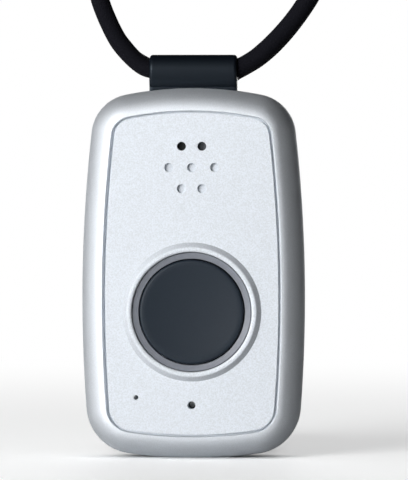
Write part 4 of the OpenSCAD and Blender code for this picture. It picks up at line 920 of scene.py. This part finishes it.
# Floor, white surroundings and lamps
def looked_at(tree, path):
    """1 where the camera sees the surface, straight or through something clear, otherwise 0."""
    return reckoned(tree, "MAXIMUM", path.outputs["Is Camera Ray"], path.outputs["Is Transmission Ray"])


def floor_finish():
    """White floor that keeps the shadow near the object and runs into the white surroundings further off.

    It glows faintly for the camera, but not under the object's foot, which is painted shadow there; in front of the
    object it also glows for reflections, which is painted light."""
    made = plain("floor_white", (0.62, 0.63, 0.64), 0.7, Specular_IOR_Level=0.1)
    tree = made.node_tree
    shader = tree.nodes["Principled BSDF"]
    place, path = place_on(tree), node(tree, "ShaderNodeLightPath")
    smooth = {"interpolation_type": "SMOOTHSTEP"}
    direct = looked_at(tree, path)
    tree.links.new(mixed(tree, direct, (0.5, 0.505, 0.51), (0.86, 0.87, 0.87)), shader.inputs["Base Color"])
    # Painted reflection: in front of the object the floor glows for reflections only, so the lower faces mirror a
    # bright floor
    in_front = graded(tree, part_of(tree, place, "Y"), -0.007, -0.02, 0, 0.8, **smooth)
    painted_reflection_glow = reckoned(tree, "MULTIPLY", path.outputs["Is Glossy Ray"], in_front)
    # Painted shadow: the glow fades out round the object's foot, darkening the floor there beyond the lamps' own shadow
    round_foot = measured(tree, "LENGTH", measured(tree, "MULTIPLY", place, (1 / 0.018, 1 / 0.0072, 0)))
    clear = graded(tree, round_foot, 0.6, 1.5, 0, 0.43, **smooth)
    glow = reckoned(tree, "MULTIPLY", reckoned(tree, "MAXIMUM", direct, painted_reflection_glow), clear)
    shader.inputs["Emission Color"].default_value = (1, 1, 1, 1)
    tree.links.new(glow, shader.inputs["Emission Strength"])
    white = node(tree, "ShaderNodeEmission")
    white.inputs["Color"].default_value = (1, 1, 1, 1)
    fade = graded(tree, measured(tree, "LENGTH", place), 0.10, 0.42, **smooth)
    whiter = reckoned(tree, "MULTIPLY", fade, direct)
    mix = node(tree, "ShaderNodeMixShader")
    for socket, value in zip(mix.inputs, (whiter, shader.outputs[0], white.outputs[0])):
        tree.links.new(value, socket)
    tree.links.new(mix.outputs[0], tree.nodes["Material Output"].inputs["Surface"])
    return made


def studio():
    scene = bpy.context.scene
    scene.view_settings.view_transform = "Standard"
    world = bpy.data.worlds.new("surroundings")
    scene.world = world
    world.use_nodes = True
    tree = world.node_tree
    back = tree.nodes["Background"]
    back.inputs["Color"].default_value = (1, 1, 1, 1)
    towards = part_of(tree, place_on(tree, "Generated"), "Y")
    behind = graded(tree, towards, 0.88, 0.99, 0.01, 1, interpolation_type="SMOOTHSTEP")
    level = reckoned(tree, "MAXIMUM", behind, looked_at(tree, node(tree, "ShaderNodeLightPath")))
    tree.links.new(level, back.inputs["Strength"])

    deselect()
    bpy.ops.mesh.primitive_plane_add(size=2.4, location=(0, 0.3, 0))
    floor = bpy.context.object
    floor.name = "floor"
    bpy.ops.object.transform_apply(location=True)
    floor.data.materials.append(floor_finish())

    def lamp(name, place, aim, size, power):
        deselect()
        bpy.ops.object.light_add(type="AREA", location=place)
        light = bpy.context.object
        light.name = name
        light.data.shape = "RECTANGLE"
        light.data.size, light.data.size_y = size
        light.data.energy = power
        light.rotation_euler = (Vector(aim) - Vector(place)).to_track_quat("-Z", "Y").to_euler()

    lamp("key_left", (-0.53, -0.74, 0.25), (0, 0, 0.04), (0.5, 0.5), 8.7)
    lamp("side_left", (-0.80, -0.46, 0.17), (0, 0, 0.04), (0.5, 0.5), 2.0)
    lamp("front_high", (-0.26, -0.54, 0.72), (0, 0, 0.04), (0.4, 0.4), 0.35)
    lamp("back_soft", (0, 1.25, 0.20), (0, 0, 0.04), (0.9, 0.3), 4.8)


studio()
